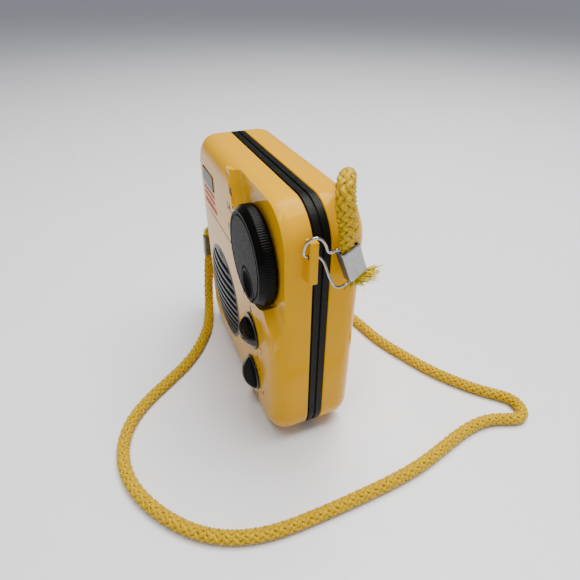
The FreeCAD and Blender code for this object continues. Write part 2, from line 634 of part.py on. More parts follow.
def battery_cells():
    made = []
    for i, z in enumerate(CELLS):
        left, right = "-cell_long / 2", "cell_long / 2"
        can = rod(f"cell_can_{i}", "x", "cell_rad", (left, f"{right} - 1.2"), y="cell_y", z=z)
        nub = rod(f"cell_nub_{i}", "x", "2.7", (f"{right} - 1.3", right), y="cell_y", z=z)
        cell = join(f"battery_cell_{i}", can, nub)
        if i:
            cell.Placement = Placement(Vector(0, 0, 0), Rotation(Vector(0, 0, 1), 180),
                                       Vector(0, size("cell_y"), 0))
        made.append(cell)
    return group("battery_cells", *made)


def battery_springs():
    """A conical wire spring behind the flat end of each cell."""
    made = []
    pitch, turns = 1.05, 2.5
    wire = 0.35
    for i, (z, side) in enumerate(zip(CELLS, (-1, 1))):
        helix = Part.makeHelix(pitch, pitch * turns, 4.4, 14)
        start = helix.Edges[0].firstVertex().Point
        heading = helix.Edges[0].tangentAt(helix.Edges[0].FirstParameter)
        section = Part.Wire(Part.makeCircle(wire, start, heading))
        coil = Part.Wire(helix.Edges).makePipeShell([section], True, True)
        spring = doc.addObject("Part::Feature", f"battery_spring_{i}")
        spring.Shape = coil
        base = Vector(side * (size("tray_half") - 0.7), size("cell_y"), size(z))
        spring.Placement = Placement(base, Rotation(Vector(0, 1, 0), -90 * side))
        made.append(spring)
    return group("battery_springs", *made)


def battery_plates():
    """Contact plates on the end walls: a shared one on the right, and one for each lead on the left."""
    made = []
    for i, (z, side) in enumerate([(z, side) for z in CELLS for side in (-1, 1)]):
        span = ("tray_half - 0.3", "tray_half") if side > 0 else ("-tray_half", "-tray_half + 0.3")
        made.append(block(f"battery_plate_{i}", span, ("cell_y - 5.5", "cell_y + 5.5"),
                          (f"{z} - 6", f"{z} + 6")))
    return group("battery_plates", *made)


def battery_door():
    """The door: a flat panel whose lower edge is the hinge barrel, with a finger scoop at the top."""
    inner = "case_deep / 2 - door_thick"
    panel = block("door_panel", ("-door_half", "door_half"), (inner, "case_deep / 2"), ("hinge_z", "door_top"))
    barrel = rod("door_barrel", "x", "hinge_rad", ("-door_half", "door_half"), y="hinge_y", z="hinge_z")
    bore = rod("door_bore", "x", "hinge_pin_rad + running_gap", ("-door_half - 1", "door_half + 1"),
               y="hinge_y", z="hinge_z")
    scoop = rod("door_scoop", "x", "6", ("-8", "8"), y="case_deep / 2 + 4.9", z="door_top - 4")
    return cut("battery_door", join("door_solids", panel, barrel), bore, scoop)


def battery_door_seal():
    back = "case_deep / 2 - door_thick"
    y = (f"{back} - seal_thick", back)
    outer = block("seal_outer", ("-door_half + 0.5", "door_half - 0.5"), y, ("hinge_z + 2.2", "door_top - 0.3"))
    inner = block("seal_inner", ("-tray_half - 0.6", "tray_half + 0.6"), (f"{back} - 2", f"{back} + 1"),
                  ("tray_low - 0.2", "tray_high + 1.4"))
    return cut("battery_door_seal", outer, inner)


def hinge_pin():
    return rod("door_hinge_pin", "x", "hinge_pin_rad", ("-door_half - 1.5", "door_half + 1.5"),
               y="hinge_y", z="hinge_z")


# ---------------------------------------------------------------- clips and cord
def bent_bar(name, points, radius, bend=None):
    """A round bar of straight lengths joined by bends, along the points. With no bend radius given,
    each bend is as wide as its two straight lengths allow."""
    corners = [Vector(*p) for p in points]
    legs = [(b - a).Length for a, b in zip(corners, corners[1:])]
    legs[0], legs[-1] = 2 * legs[0], 2 * legs[-1]
    edges = []
    here = corners[0]
    for i in range(1, len(corners) - 1):
        back = (corners[i - 1] - corners[i]).normalize()
        ahead = (corners[i + 1] - corners[i]).normalize()
        half = back.getAngle(ahead) / 2
        reach = bend / math.tan(half) if bend else 0.49 * min(legs[i - 1], legs[i])
        curve = reach * math.tan(half)
        start, end = corners[i] + back * reach, corners[i] + ahead * reach
        middle = corners[i] + (back + ahead).normalize() * (curve / math.sin(half) - curve)
        edges.append(Part.makeLine(here, start))
        edges.append(Part.Arc(start, middle, end).toShape())
        here = end
    edges.append(Part.makeLine(here, corners[-1]))
    section = Part.Wire(Part.makeCircle(radius, corners[0], corners[1] - corners[0]))
    made = doc.addObject("Part::Feature", name)
    made.Shape = Part.Wire(edges).makePipeShell([section], True, False)
    return made


class ClipFrame:
    """The ferrule's own directions: across its width, along its length, and square to both."""

    def __init__(self, centre, along, across):
        self.centre = Vector(*centre)
        self.along = Vector(*along).normalize()
        side = Vector(*across)
        self.across = (side - self.along * side.dot(self.along)).normalize()
        self.normal = self.across.cross(self.along)

    def point(self, along, across):
        return self.centre + self.along * along + self.across * across

    def placement(self):
        matrix = FreeCAD.Matrix(self.across.x, self.along.x, self.normal.x, self.centre.x,
                                self.across.y, self.along.y, self.normal.y, self.centre.y,
                                self.across.z, self.along.z, self.normal.z, self.centre.z)
        return Placement(matrix)


def ferrule(name, frame):
    """A folded metal sleeve round the cord's end, open at both ends; the clip's wire runs inside it."""
    wide, long, thick = (size(a) for a in ("ferrule_wide", "ferrule_long", "ferrule_thick"))
    skin = size("ferrule_skin")
    outer = Part.makeBox(wide, long, thick, Vector(-wide / 2, -long / 2, -thick / 2))
    outer = outer.makeFillet(0.8, [e for e in outer.Edges if abs(e.BoundBox.YLength - long) < 1e-6])
    inner = Part.makeBox(wide - 2 * skin, long + 2, thick - 2 * skin,
                         Vector(-wide / 2 + skin, -long / 2 - 1, -thick / 2 + skin))
    inner = inner.makeFillet(0.3, [e for e in inner.Edges if abs(e.BoundBox.YLength - long - 2) < 1e-6])
    made = doc.addObject("Part::Feature", name)
    made.Shape = outer.cut(inner)
    made.Placement = frame.placement()
    return made


def cord_end(name, frame):
    """The gripped end of the cord: a pressed core, a short stub towards the cord and a frayed tuft."""
    wide, long, thick = (size(a) for a in ("ferrule_wide", "ferrule_long", "ferrule_thick"))
    skin, wire = size("ferrule_skin"), 2 * size("wire_rad")
    stub, tuft, middle = 1.0, 7.0, 0.9
    core_wide = wide - 2 * skin - wire - 0.2
    core = Part.makeBox(core_wide, long, thick - 2 * skin, Vector(-core_wide / 2, -long / 2, -thick / 2 + skin))
    core.translate(Vector((wire + 0.2) / 2, 0, 0))
    core = core.makeFillet(0.7, [e for e in core.Edges if abs(e.BoundBox.YLength - long) < 1e-6])
    stub_end = Part.makeCylinder(1.7, stub, Vector(middle, -long / 2 - stub, 0), Vector(0, 1, 0))
    tuft_end = Part.makeCone(1.3, 2.8, tuft, Vector(middle, long / 2 - 0.5, 0), Vector(0.57, 0.82, 0))
    made = doc.addObject("Part::Feature", name)
    made.Shape = core.fuse([stub_end, tuft_end])
    made.Placement = frame.placement()
    return made


def clip_wire(name, frame, eye, over, under, upper, entry):
    """A bent loop: from inside the ferrule over the lug's top, through the eye and back to the ferrule.
    upper is the ferrule end that the long leg leaves from; entry is the side of the eye it reaches."""
    inside = -size("ferrule_wide") / 2 + size("ferrule_skin") + size("wire_rad") + 0.05
    half = size("ferrule_long") / 2
    tip, turn = half - 2.5, half + 1.8
    far = Vector(eye.x, eye.y + entry * 3.2, eye.z)
    near = Vector(eye.x, eye.y - entry * 3.2, eye.z)
    points = [frame.point(upper * tip, inside), frame.point(upper * turn, inside)]
    points += [Vector(*p) for p in over] + [far, near] + [Vector(*p) for p in under]
    points += [frame.point(-upper * turn, inside), frame.point(-upper * tip, inside)]
    return bent_bar(name, [(p.x, p.y, p.z) for p in points], size("wire_rad"), 0.9)


def eye_centre(side, lug_low):
    middle = (size("lug_front") + size("parting_front")) / 2
    return Vector(side * size("eye_x"), middle, size(lug_low) + size("eye_rise"))


RIGHT = ClipFrame((57.9, 7.9, 92.5), (0, 4.0, -10.9), (-1.6, 7.1, 2.4))
LEFT = ClipFrame((-57.4, -15.4, 43.6), (0.02, 0.05, 1), (0, -1, 0.05))


def right_clip():
    eye = eye_centre(1, "right_lug_z")
    over = [(57.2, -0.4, 96.2), (57.2, -1.8, 100.8), (56.9, -3.9, 103), (56.1, -6.8, 102.4),
            (55.4, -8.1, 99.4)]
    under = [(57.6, 0.4, 87), (58.6, 2.4, 82.9)]
    return [clip_wire("right_clip_wire", RIGHT, eye, over, under, -1, -1),
            ferrule("right_ferrule", RIGHT),
            cord_end("right_cord_end", RIGHT)]


def left_clip():
    eye = eye_centre(-1, "left_lug_z")
    over = [(-57.2, -9.4, 51.5), (-57.2, -8.1, 55.6), (-56.9, -6, 57.6), (-56.1, -3.1, 57),
            (-55.4, -1.8, 54)]
    under = [(-57.2, -8.8, 41.5), (-58, -8.6, 35.4)]
    return [clip_wire("left_clip_wire", LEFT, eye, over, under, 1, 1),
            ferrule("left_ferrule", LEFT),
            cord_end("left_cord_end", LEFT)]


CORD_TABLE = 2.64
CORD_PATH = [
    (57.9, 6.4, 102.2), (57.6, 5, 108.5), (57.2, 3.9, 115.5), (55.4, 4.4, 120), (51, 7.2, 120.2),
    (46, 10.2, 117.6), (39.5, 14.2, 114.2), (33, 18.3, 111), (27.5, 21.8, 106), (23, 24.4, 98),
    (17, 25.2, 88), (6, 24.6, 78), (-12, 24.2, 68), (-26, 24.2, 59), (-36, 24.6, 47.5), (-39.4, 26, 33),
    (-39.8, 30, 18.5), (-36.4, 37, 8.2), (-29.6, 44.8, 3.6), (-20.6, 51, CORD_TABLE),
    (-10.5, 55, CORD_TABLE), (0, 57, CORD_TABLE), (10.6, 59, CORD_TABLE), (29.6, 65.7, CORD_TABLE),
    (44.5, 72.6, CORD_TABLE), (56, 80.2, CORD_TABLE), (67, 90, CORD_TABLE), (76, 96, CORD_TABLE),
    (82.4, 93, CORD_TABLE), (80.2, 82, CORD_TABLE), (78.4, 69.6, CORD_TABLE), (81.7, 51.1, CORD_TABLE),
    (85.7, 33.7, CORD_TABLE), (87.9, 11, CORD_TABLE), (88.5, -15, CORD_TABLE), (86.6, -38.8, CORD_TABLE),
    (79.8, -54.9, CORD_TABLE), (67, -68.3, CORD_TABLE), (51, -77.6, CORD_TABLE), (35, -80.4, CORD_TABLE),
    (18.2, -75.6, CORD_TABLE), (4.5, -62.9, CORD_TABLE), (-7, -48, CORD_TABLE), (-15, -39.8, CORD_TABLE),
    (-24.5, -32.8, CORD_TABLE), (-35.3, -27.1, CORD_TABLE), (-45.5, -23.6, 3.2), (-52.8, -21.2, 7.4),
    (-56.2, -19.8, 15), (-57.2, -18.3, 25), (-57.6, -17, 33.4),
]


def neck_cord():
    """The cord's resting path, a smooth curve turned into short arcs."""
    curve = Part.BSplineCurve()
    curve.interpolate([Vector(*p) for p in CORD_PATH])
    return bent_bar("neck_cord", curve.toShape().discretize(Number=96), size("cord_rad"))


# ---------------------------------------------------------------- build, check and write
def all_nodes():
    nodes = [front_shell(), rear_shell(), gasket_band(), name_plate(), speaker_grille(),
             tuning_knob(), tuning_shaft(), tuning_capacitor()]
    nodes += [pointer_knob("band_knob", "switch_at_x", "switch_at_z", "switch_turn"),
              small_shaft("band_shaft", "switch_at_x", "switch_at_z"), band_switch(),
              pointer_knob("volume_knob", "volume_at_x", "volume_at_z", "volume_turn"),
              small_shaft("volume_shaft", "volume_at_x", "volume_at_z"), volume_control()]
    nodes += [speaker_ring(), speaker_frame(), speaker_magnet(), speaker_cone()]
    nodes += [circuit_board(), board_screws(), case_screws(), coil_cans(), electrolytic_capacitors(),
              amplifier_chip(), resistors(), ferrite_rod(), antenna_coil(), rod_holders()]
    nodes += [battery_cells(), battery_springs(), battery_plates(), battery_door(),
              battery_door_seal(), hinge_pin()]
    nodes += right_clip() + left_clip() + [neck_cord()]
    return nodes


def check(nodes):
    for thing in doc.Objects:
        bad = {"Invalid", "Error"} & set(thing.State)
        assert not bad, f"{thing.Name}: {thing.State}"
    for node in nodes:
        shape = node.Shape
        assert not shape.isNull() and shape.isValid(), f"{node.Label} has no valid shape"
        assert shape.Solids, f"{node.Label} has no solid"


os.makedirs("parts", exist_ok=True)
built = all_nodes()
doc.recompute()
check(built)
for node in built:
    node.Shape.exportStep(f"parts/{node.Label}.step")
    print(f"{node.Label:26s} solids {len(node.Shape.Solids)} volume {node.Shape.Volume:9.1f}")
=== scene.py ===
"""The looks of a yellow pocket radio on a neck cord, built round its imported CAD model.

Lengths below are millimetres from the centre of the case's bottom: +Z up, the front panel faces -Y.
The CAD model's own origin lies ahead of that point, so every place goes through in_frame(), which
also turns millimetres into metres.
"""
import math
import random

import bpy
import numpy as np
from mathutils import Euler, Matrix, Vector


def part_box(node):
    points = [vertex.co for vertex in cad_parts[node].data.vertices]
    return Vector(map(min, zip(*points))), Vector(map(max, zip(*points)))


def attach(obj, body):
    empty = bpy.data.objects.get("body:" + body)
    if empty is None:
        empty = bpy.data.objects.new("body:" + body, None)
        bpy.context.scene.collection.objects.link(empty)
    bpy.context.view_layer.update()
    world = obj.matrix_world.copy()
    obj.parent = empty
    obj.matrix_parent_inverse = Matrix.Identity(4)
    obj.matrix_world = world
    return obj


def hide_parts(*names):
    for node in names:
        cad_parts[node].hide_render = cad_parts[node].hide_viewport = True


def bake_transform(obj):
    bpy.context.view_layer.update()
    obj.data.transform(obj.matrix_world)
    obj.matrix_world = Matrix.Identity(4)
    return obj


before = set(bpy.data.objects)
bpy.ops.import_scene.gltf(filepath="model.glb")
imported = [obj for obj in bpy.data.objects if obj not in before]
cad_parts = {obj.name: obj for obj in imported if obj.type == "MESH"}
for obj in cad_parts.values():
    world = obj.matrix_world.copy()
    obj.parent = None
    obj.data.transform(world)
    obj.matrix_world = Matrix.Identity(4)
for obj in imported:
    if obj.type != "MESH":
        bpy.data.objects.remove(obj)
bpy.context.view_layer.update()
METRE = 1000.0
# where the case's middle plane lies in the CAD model's frame
MIDDLE_Y = (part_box("front_shell")[0].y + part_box("rear_shell")[1].y) / 2
# the one source of random draws for the frayed ends
DRAW = random.Random(7)


def in_frame(points):
    """Points of the case, in millimetres, as metres in the CAD model's frame."""
    return np.asarray(points, float) / METRE + (0, MIDDLE_Y, 0)


# ---------------------------------------------------------------- places
# the front panel's y, then the (x, z) centres of what sits on it
FRONT = -18.0
WHEEL = (29.4, 84.2)
SWITCH = (26.1, 45.8)
VOLUME = (25.2, 20.3)
SPEAKER = (-18.5, 37.2)


# ---------------------------------------------------------------- materials
# the range in which most values of a noise texture lie
NOISE_LOW, NOISE_HIGH = 0.3, 0.7
# the places of the two colours and of the result on a Mix node that mixes colours
MIX_FIRST, MIX_SECOND, MIX_RESULT = 6, 7, 2


class Look:
    """A node material built up step by step from a Principled shader."""

    def __init__(self, name, colour, metal=0.0, specular=0.5):
        self.material = bpy.data.materials.new(name)
        self.material.use_nodes = True
        self.tree = self.material.node_tree
        self.shader = self.tree.nodes["Principled BSDF"]
        self.give("Base Color", (*colour, 1))
        self.give("Metallic", metal)
        self.give("Specular IOR Level", specular)
        self.colour = None
        self.place = self.node("ShaderNodeTexCoord").outputs["Object"]

    def give(self, socket, value):
        """Sets one of the shader's own inputs."""
        self.shader.inputs[socket].default_value = value

    def node(self, kind, **values):
        made = self.tree.nodes.new(kind)
        for key, value in values.items():
            if key in made.inputs:
                made.inputs[key].default_value = value
            else:
                setattr(made, key, value)
        return made

    def link(self, start, end):
        self.tree.links.new(start, end)

    def noise(self, grain_mm, detail, stretch=(1, 1, 1)):
        """A 0..1 noise whose features are about grain_mm wide."""
        warp = self.node("ShaderNodeMapping")
        warp.inputs["Scale"].default_value = stretch
        self.link(self.place, warp.inputs["Vector"])
        made = self.node("ShaderNodeTexNoise", Scale=METRE / grain_mm, Detail=detail)
        self.link(warp.outputs["Vector"], made.inputs["Vector"])
        return made.outputs["Fac"]

    def between(self, source, low, high):
        """Maps the middle of a 0..1 source to low..high."""
        made = self.node("ShaderNodeMapRange")
        made.inputs["From Min"].default_value = NOISE_LOW
        made.inputs["From Max"].default_value = NOISE_HIGH
        made.inputs["To Min"].default_value = low
        made.inputs["To Max"].default_value = high
        self.link(source, made.inputs["Value"])
        return made.outputs["Result"]

    def tint(self, other, source, low=0.0, high=1.0):
        """Mixes the base colour towards another one where the source is high."""
        mix = self.node("ShaderNodeMix", data_type="RGBA")
        first = mix.inputs[MIX_FIRST]
        if self.colour is None:
            first.default_value = self.shader.inputs["Base Color"].default_value
        else:
            self.link(self.colour, first)
        mix.inputs[MIX_SECOND].default_value = (*other, 1)
        self.link(self.between(source, low, high), mix.inputs["Factor"])
        self.colour = mix.outputs[MIX_RESULT]
        self.link(self.colour, self.shader.inputs["Base Color"])
        return self

    def rough(self, source, low, high):
        self.link(self.between(source, low, high), self.shader.inputs["Roughness"])
        return self

    def bump(self, source, height_mm):
        made = self.node("ShaderNodeBump", Strength=1.0, Distance=height_mm / METRE)
        self.link(source, made.inputs["Height"])
        before = self.shader.inputs["Normal"].links
        if before:
            self.link(before[0].from_socket, made.inputs["Normal"])
        self.link(made.outputs["Normal"], self.shader.inputs["Normal"])
        return self


def patchy(name, colour, other, share, patches, grain, rough, peel, height, **kind):
    """Patches of another colour, an uneven gloss and a fine relief.

    patches, grain and peel are each a noise as (grain in mm, detail); share is how far the patches
    go towards the other colour, rough the range of the gloss, and kind the metal or specular value.
    """
    look = Look(name, colour, **kind)
    look.tint(other, look.noise(*patches), 0, share)
    look.rough(look.noise(*grain), *rough)
    return look.bump(look.noise(*peel), height)


def moulded(name, colour, rough, darker=0.85, grain=1.2, height=0.004):
    """A moulded plastic: faint flow marks, a slightly uneven gloss and orange peel."""
    return patchy(name, colour, tuple(c * darker for c in colour), 0.5, (14, 4), (5, 5),
                  (rough * 0.8, rough * 1.3), (grain, 2), height)


def yellow_plastic():
    """Glossy yellow plastic whose reflections stay yellow, with broad and fine orange peel."""
    look = Look("yellow_plastic", (0.72, 0.36, 0.0), specular=0.24)
    look.give("IOR", 1.36)
    look.give("Specular Tint", (1.0, 0.80, 0.30, 1))
    look.tint((0.66, 0.32, 0.0), look.noise(22, 4), 0, 0.45)
    look.tint((0.46, 0.22, 0.0), look.noise(0.7, 2), -0.9, 0.12)
    look.rough(look.noise(6, 6), 0.12, 0.21)
    look.bump(look.noise(2.6, 2), 0.006)
    return look.bump(look.noise(0.35, 2), 0.0008)


def black_rubber():
    return patchy("black_rubber", (0.0045, 0.005, 0.004), (0.011, 0.011, 0.008), 0.8, (3.5, 5),
                  (1.2, 4), (0.34, 0.52), (0.18, 3), 0.012, specular=0.10)


def wheel_face():
    look = patchy("wheel_face_plastic", (0.004, 0.005, 0.0055), (0.008, 0.0095, 0.010), 0.8, (9, 5),
                  (0.8, 4), (0.34, 0.48), (0.12, 2), 0.006, specular=0.05)
    look.give("IOR", 1.3)
    return look


def gloss_black():
    return patchy("gloss_black_plastic", (0.0015, 0.0017, 0.0014), (0.004, 0.004, 0.003), 0.8, (4, 5),
                  (1.1, 5), (0.16, 0.30), (0.5, 2), 0.003, specular=0.07)


def pointer_black():
    return patchy("pointer_black_plastic", (0.0022, 0.0024, 0.002), (0.006, 0.006, 0.004), 0.8, (4, 5),
                  (1.1, 5), (0.10, 0.22), (0.5, 2), 0.003, specular=0.36)


def grille_black():
    return patchy("grille_plastic", (0.010, 0.011, 0.012), (0.020, 0.022, 0.025), 0.8, (5, 5),
                  (0.9, 4), (0.24, 0.42), (0.25, 2), 0.006, specular=0.26)


def nickel():
    return patchy("nickel_plate", (0.46, 0.45, 0.43), (0.26, 0.25, 0.23), 0.6, (2.4, 6),
                  (0.7, 5), (0.10, 0.24), (0.8, 2), 0.004, metal=1.0)


def sheet_metal(name, colour, worn):
    return patchy(name, colour, worn, 0.7, (1.6, 6), (0.5, 5), (0.26, 0.46), (0.45, 5), 0.016, metal=1.0)


def yarn(name, colour, dark, pale):
    """Shiny twisted yarn: fine fibres, with painted shade for the hollows and painted highlights for the
    crowns, both laid out by noise.
    """
    look = Look(name, colour)
    look.give("Specular Tint", (1.0, 0.85, 0.40, 1))
    # painted shade: the dark colour stands for the shade in the hollows between fibres
    look.tint(dark, look.noise(1.5, 4), 0, 0.55)
    # painted highlight: the pale colour stands for light catching the crowns of the fibres
    look.tint(pale, look.noise(0.55, 3), -0.4, 0.7)
    look.rough(look.noise(0.6, 3), 0.32, 0.52)
    return look.bump(look.noise(0.16, 3, (1, 1, 0.6)), 0.05)


def plate():
    """The dark blank plate, with level brush marks."""
    look = Look("plate_metal", (0.030, 0.030, 0.028), specular=0.12)
    look.tint((0.12, 0.12, 0.11), look.noise(1.8, 4, (1, 1, 6)), 0, 0.9)
    return look.rough(look.noise(0.6, 4), 0.22, 0.4)


def ink(name, colour, faded):
    """Printing that is worn paler in spots."""
    look = Look(name, colour, specular=0.12)
    look.tint(faded, look.noise(0.9, 5), -0.4, 0.5)
    return look.rough(look.noise(1.5, 3), 0.45, 0.65)


def brushed(name, colour, rough, metal=1.0):
    """Metal with fine marks that run level round it."""
    look = Look(name, colour, metal)
    look.tint(tuple(c * 0.7 for c in colour), look.noise(1.2, 5, (1, 1, 8)), 0, 0.8)
    look.rough(look.noise(0.8, 4), rough * 0.8, rough * 1.3)
    return look.bump(look.noise(0.2, 2, (1, 1, 10)), 0.006)


def board():
    look = Look("board_laminate", (0.30, 0.16, 0.06))
    look.tint((0.20, 0.10, 0.035), look.noise(1.2, 4, (1, 6, 1)), 0, 0.8)
    look.rough(look.noise(3, 4), 0.4, 0.6)
    return look.bump(look.noise(0.4, 3), 0.01)


def winding():
    """Enamelled wire wound round X: a wave along X stands for the turns."""
    look = Look("copper_winding", (0.55, 0.20, 0.07), metal=0.6)
    look.give("Roughness", 0.35)
    turns = look.node("ShaderNodeTexWave", Scale=900.0, Distortion=0.2)
    look.link(look.place, turns.inputs["Vector"])
    look.tint((0.24, 0.07, 0.03), turns.outputs["Fac"])
    return look.bump(turns.outputs["Fac"], 0.08)


def paint_frame_nodes():
    """Gives every CAD node that stays in view, outside or inside, its own procedural finish."""
    steel = brushed("steel", (0.50, 0.50, 0.50), 0.32)
    dark = moulded("dark_grey_plastic", (0.075, 0.075, 0.080), 0.45)
    finishes = {
        yellow_plastic(): ["front_shell", "rear_shell", "battery_door"],
        black_rubber(): ["gasket_band", "battery_door_seal"],
        steel: ["tuning_shaft", "speaker_frame", "board_screws", "case_screws", "battery_springs",
                "battery_plates", "door_hinge_pin"],
        dark: ["band_shaft", "band_switch", "volume_shaft", "volume_control", "rod_holders"],
        plate(): ["name_plate"],
        brushed("tinned_can", (0.62, 0.62, 0.60), 0.28): ["coil_cans"],
        brushed("magnet_iron", (0.10, 0.10, 0.11), 0.55, 0.5): ["speaker_magnet"],
        moulded("ferrite", (0.05, 0.05, 0.052), 0.6): ["ferrite_rod"],
        moulded("cone_paper", (0.030, 0.028, 0.026), 0.85, 0.6, 0.5, 0.02): ["speaker_cone"],
        moulded("ring_felt", (0.05, 0.05, 0.05), 0.95, 0.6, 0.3, 0.05): ["speaker_ring"],
        moulded("clear_plastic", (0.62, 0.62, 0.56), 0.25): ["tuning_capacitor"],
        moulded("capacitor_sleeve", (0.03, 0.05, 0.16), 0.3): ["electrolytic_capacitors"],
        moulded("chip_resin", (0.02, 0.02, 0.02), 0.5): ["amplifier_chip"],
        moulded("resistor_body", (0.52, 0.36, 0.18), 0.4): ["resistors"],
        moulded("cell_jacket", (0.06, 0.07, 0.09), 0.25): ["battery_cells"],
        board(): ["circuit_board"],
        winding(): ["antenna_coil"],
    }
    for look, names in finishes.items():
        for name in names:
            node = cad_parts[name]
            node.data.materials.clear()
            node.data.materials.append(look.material)
            soften(node)


# how near two points of a CAD mesh are when they are one, in metres, and how sharp an edge has to be
# to be kept, in degrees
WELD_WITHIN = 2e-6
EDGE_FROM = 24


def soften(node):
    """Shades a CAD node smoothly between its real edges; the mesh itself stays as it is."""
    weld = node.modifiers.new("weld", "WELD")
    weld.merge_threshold = WELD_WITHIN
    split = node.modifiers.new("edges", "EDGE_SPLIT")
    split.split_angle = math.radians(EDGE_FROM)
    for face in node.data.polygons:
        face.use_smooth = True


# ---------------------------------------------------------------- mesh helpers
def piece(name, points, faces, look, body, sharp):
    """A mesh object from points in millimetres; edges steeper than sharp degrees stay crisp.

    A piece with no body rides what its caller says.
    """
    mesh = bpy.data.meshes.new(name)
    mesh.from_pydata(in_frame(points).tolist(), [], faces)
    mesh.validate()
    for face in mesh.polygons:
        face.use_smooth = True
    mesh.set_sharp_from_angle(angle=math.radians(sharp))
    mesh.materials.append(look.material)
    made = bpy.data.objects.new(name, mesh)
    bpy.context.scene.collection.objects.link(made)
    if body:
        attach(made, body)
    return made


def tube_faces(rows, around, first=0):
    """Quads between consecutive rings of points, with both ends capped."""
    faces = []
    for i in range(rows - 1):
        for j in range(around):
            k = (j + 1) % around
            low = first + i * around
            faces.append((low + j, low + k, low + around + k, low + around + j))
    faces.append(tuple(first + j for j in reversed(range(around))))
    faces.append(tuple(first + (rows - 1) * around + j for j in range(around)))
    return faces


def lathe(profile, around, centre, radius_at=None):
    """Turns (radius, y, weight) rows about the Y axis through centre (x, z).

    radius_at(angle) is added to the radius, times the row's weight. The first and last rows close
    to a point when their radius is zero.
    """
    points, rings = [], []
    for radius, y, weight in profile:
        start = len(points)
        count = 1 if radius == 0 else around
        rings.append((start, count))
        for j in range(count):
            angle = math.tau * j / around
            reach = radius + (weight * radius_at(angle) if radius_at else 0)
            points.append((centre[0] + reach * math.cos(angle), y, centre[1] + reach * math.sin(angle)))
    faces = []
    for (a, ca), (b, cb) in zip(rings, rings[1:]):
        for j in range(around):
            k = (j + 1) % around
            if ca == 1:
                faces.append((a, b + j, b + k))
            elif cb == 1:
                faces.append((a + j, b, a + k))
            else:
                faces.append((a + j, b + j, b + k, a + k))
    return points, faces


def rounded(centre, start_angle, end_angle, radius):
    """Points of an arc as (a, b) pairs, angles in degrees."""
    arc, steps = [], 5
    for k in range(steps + 1):
        angle = math.radians(start_angle + (end_angle - start_angle) * k / steps)
        arc.append((centre[0] + radius * math.cos(angle), centre[1] + radius * math.sin(angle)))
    return arc


# ---------------------------------------------------------------- tuning wheel
WHEEL_RAD = 19.25
FACE_RAD = 17.3
FACE_Y = FRONT - 2.6
BEVEL_DEEP = 2.3
WHEEL_BACK = FACE_Y + 6.3
# the rim's wall and the web behind the face, then the hub and its bore for the shaft
RIM_WALL = 1.8
WHEEL_HUB = 4.5
WHEEL_HUB_BACK = -11.5
WHEEL_BORE = 3.02
WHEEL_BORE_END = FACE_Y + 1.62
# the line round the face runs on round the dimple
GROOVE_RAD = 15.9
GROOVE_HALF = 0.34
GROOVE_DEEP = 0.55
DIMPLE = (3.0, -10.0)
DIMPLE_RAD = 5.5
DIMPLE_DEEP = 2.2
DIMPLE_RING = 6.9
DIMPLE_LIP = 0.10
RIBS = 132
RIB_HIGH = 0.13


def face_depth(x, z):
    """How deep the wheel's face lies at a point measured from the wheel's centre."""
    from_centre = math.hypot(x, z)
    from_dimple = math.hypot(x - DIMPLE[0], z - DIMPLE[1])
    soft = 0.5  # how gently the two lines join
    outer, inner = from_centre - GROOVE_RAD, DIMPLE_RING - from_dimple
    blend = max(soft - abs(outer - inner), 0) / soft
    edge = max(outer, inner) + blend * blend * soft / 4
    nearest = min(abs(edge), abs(from_dimple - DIMPLE_RING))
    groove = GROOVE_DEEP * max(0, 1 - (nearest / GROOVE_HALF) ** 2)
    ball = (DIMPLE_RAD ** 2 + DIMPLE_DEEP ** 2) / (2 * DIMPLE_DEEP)
    bowl = 0.0
    if from_dimple < DIMPLE_RAD:
        bowl = DIMPLE_DEEP - ball + math.sqrt(ball ** 2 - from_dimple ** 2)
    lip = DIMPLE_LIP * math.exp(-((from_dimple - DIMPLE_RAD) / 0.35) ** 2)
    return groove + max(bowl, 0) - lip


def tuning_wheel(face_look, rim_look):
    """The wheel's face with its finger dimple, and the ribbed rim behind it."""
    around, rings = 384, 92
    points, faces = [(WHEEL[0], FACE_Y + face_depth(0, 0), WHEEL[1])], []
    for i in range(1, rings + 1):
        radius = (FACE_RAD - 0.15) * i / rings
        for j in range(around):
            angle = math.tau * j / around
            x, z = radius * math.cos(angle), radius * math.sin(angle)
            points.append((WHEEL[0] + x, FACE_Y + face_depth(x, z), WHEEL[1] + z))
    for j in range(around):
        k = (j + 1) % around
        faces.append((0, 1 + j, 1 + k))
        for i in range(rings - 1):
            low = 1 + i * around
            faces.append((low + j, low + around + j, low + around + k, low + k))
    face = piece("tuning_wheel_face", points, faces, face_look, "tuning", 60)
    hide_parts("tuning_knob")

    rim_y = FACE_Y + BEVEL_DEEP
    web_y = rim_y + RIM_WALL
    profile = [(FACE_RAD - 0.16, FACE_Y + 0.9, 0), (FACE_RAD - 0.15, FACE_Y, 0),
               (FACE_RAD, FACE_Y + 0.03, 0), (FACE_RAD + 0.16, FACE_Y + 0.15, 0),
               (WHEEL_RAD - 0.35, rim_y - 0.42, 0), (WHEEL_RAD - 0.12, rim_y - 0.15, 0.2),
               (WHEEL_RAD - 0.02, rim_y + 0.15, 1)]
    profile += [(WHEEL_RAD, y, 1) for y in np.linspace(rim_y + 0.5, WHEEL_BACK - 0.4, 5)]
    profile += [(WHEEL_RAD - 0.25, WHEEL_BACK, 0.3), (WHEEL_RAD - RIM_WALL, WHEEL_BACK, 0),
                (WHEEL_RAD - RIM_WALL, web_y, 0), (WHEEL_HUB, web_y, 0),
                (WHEEL_HUB, WHEEL_HUB_BACK, 0), (WHEEL_BORE, WHEEL_HUB_BACK, 0),
                (WHEEL_BORE, WHEEL_BORE_END, 0), (0, WHEEL_BORE_END, 0)]

    def rib(angle):
        return -RIB_HIGH * (0.5 - 0.5 * math.cos(RIBS * angle)) ** 0.7

    points, faces = lathe(profile, RIBS * 6, WHEEL, rib)
    rim = piece("tuning_wheel_rim", points, faces, rim_look, "tuning", 40)
    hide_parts("tuning_knob")


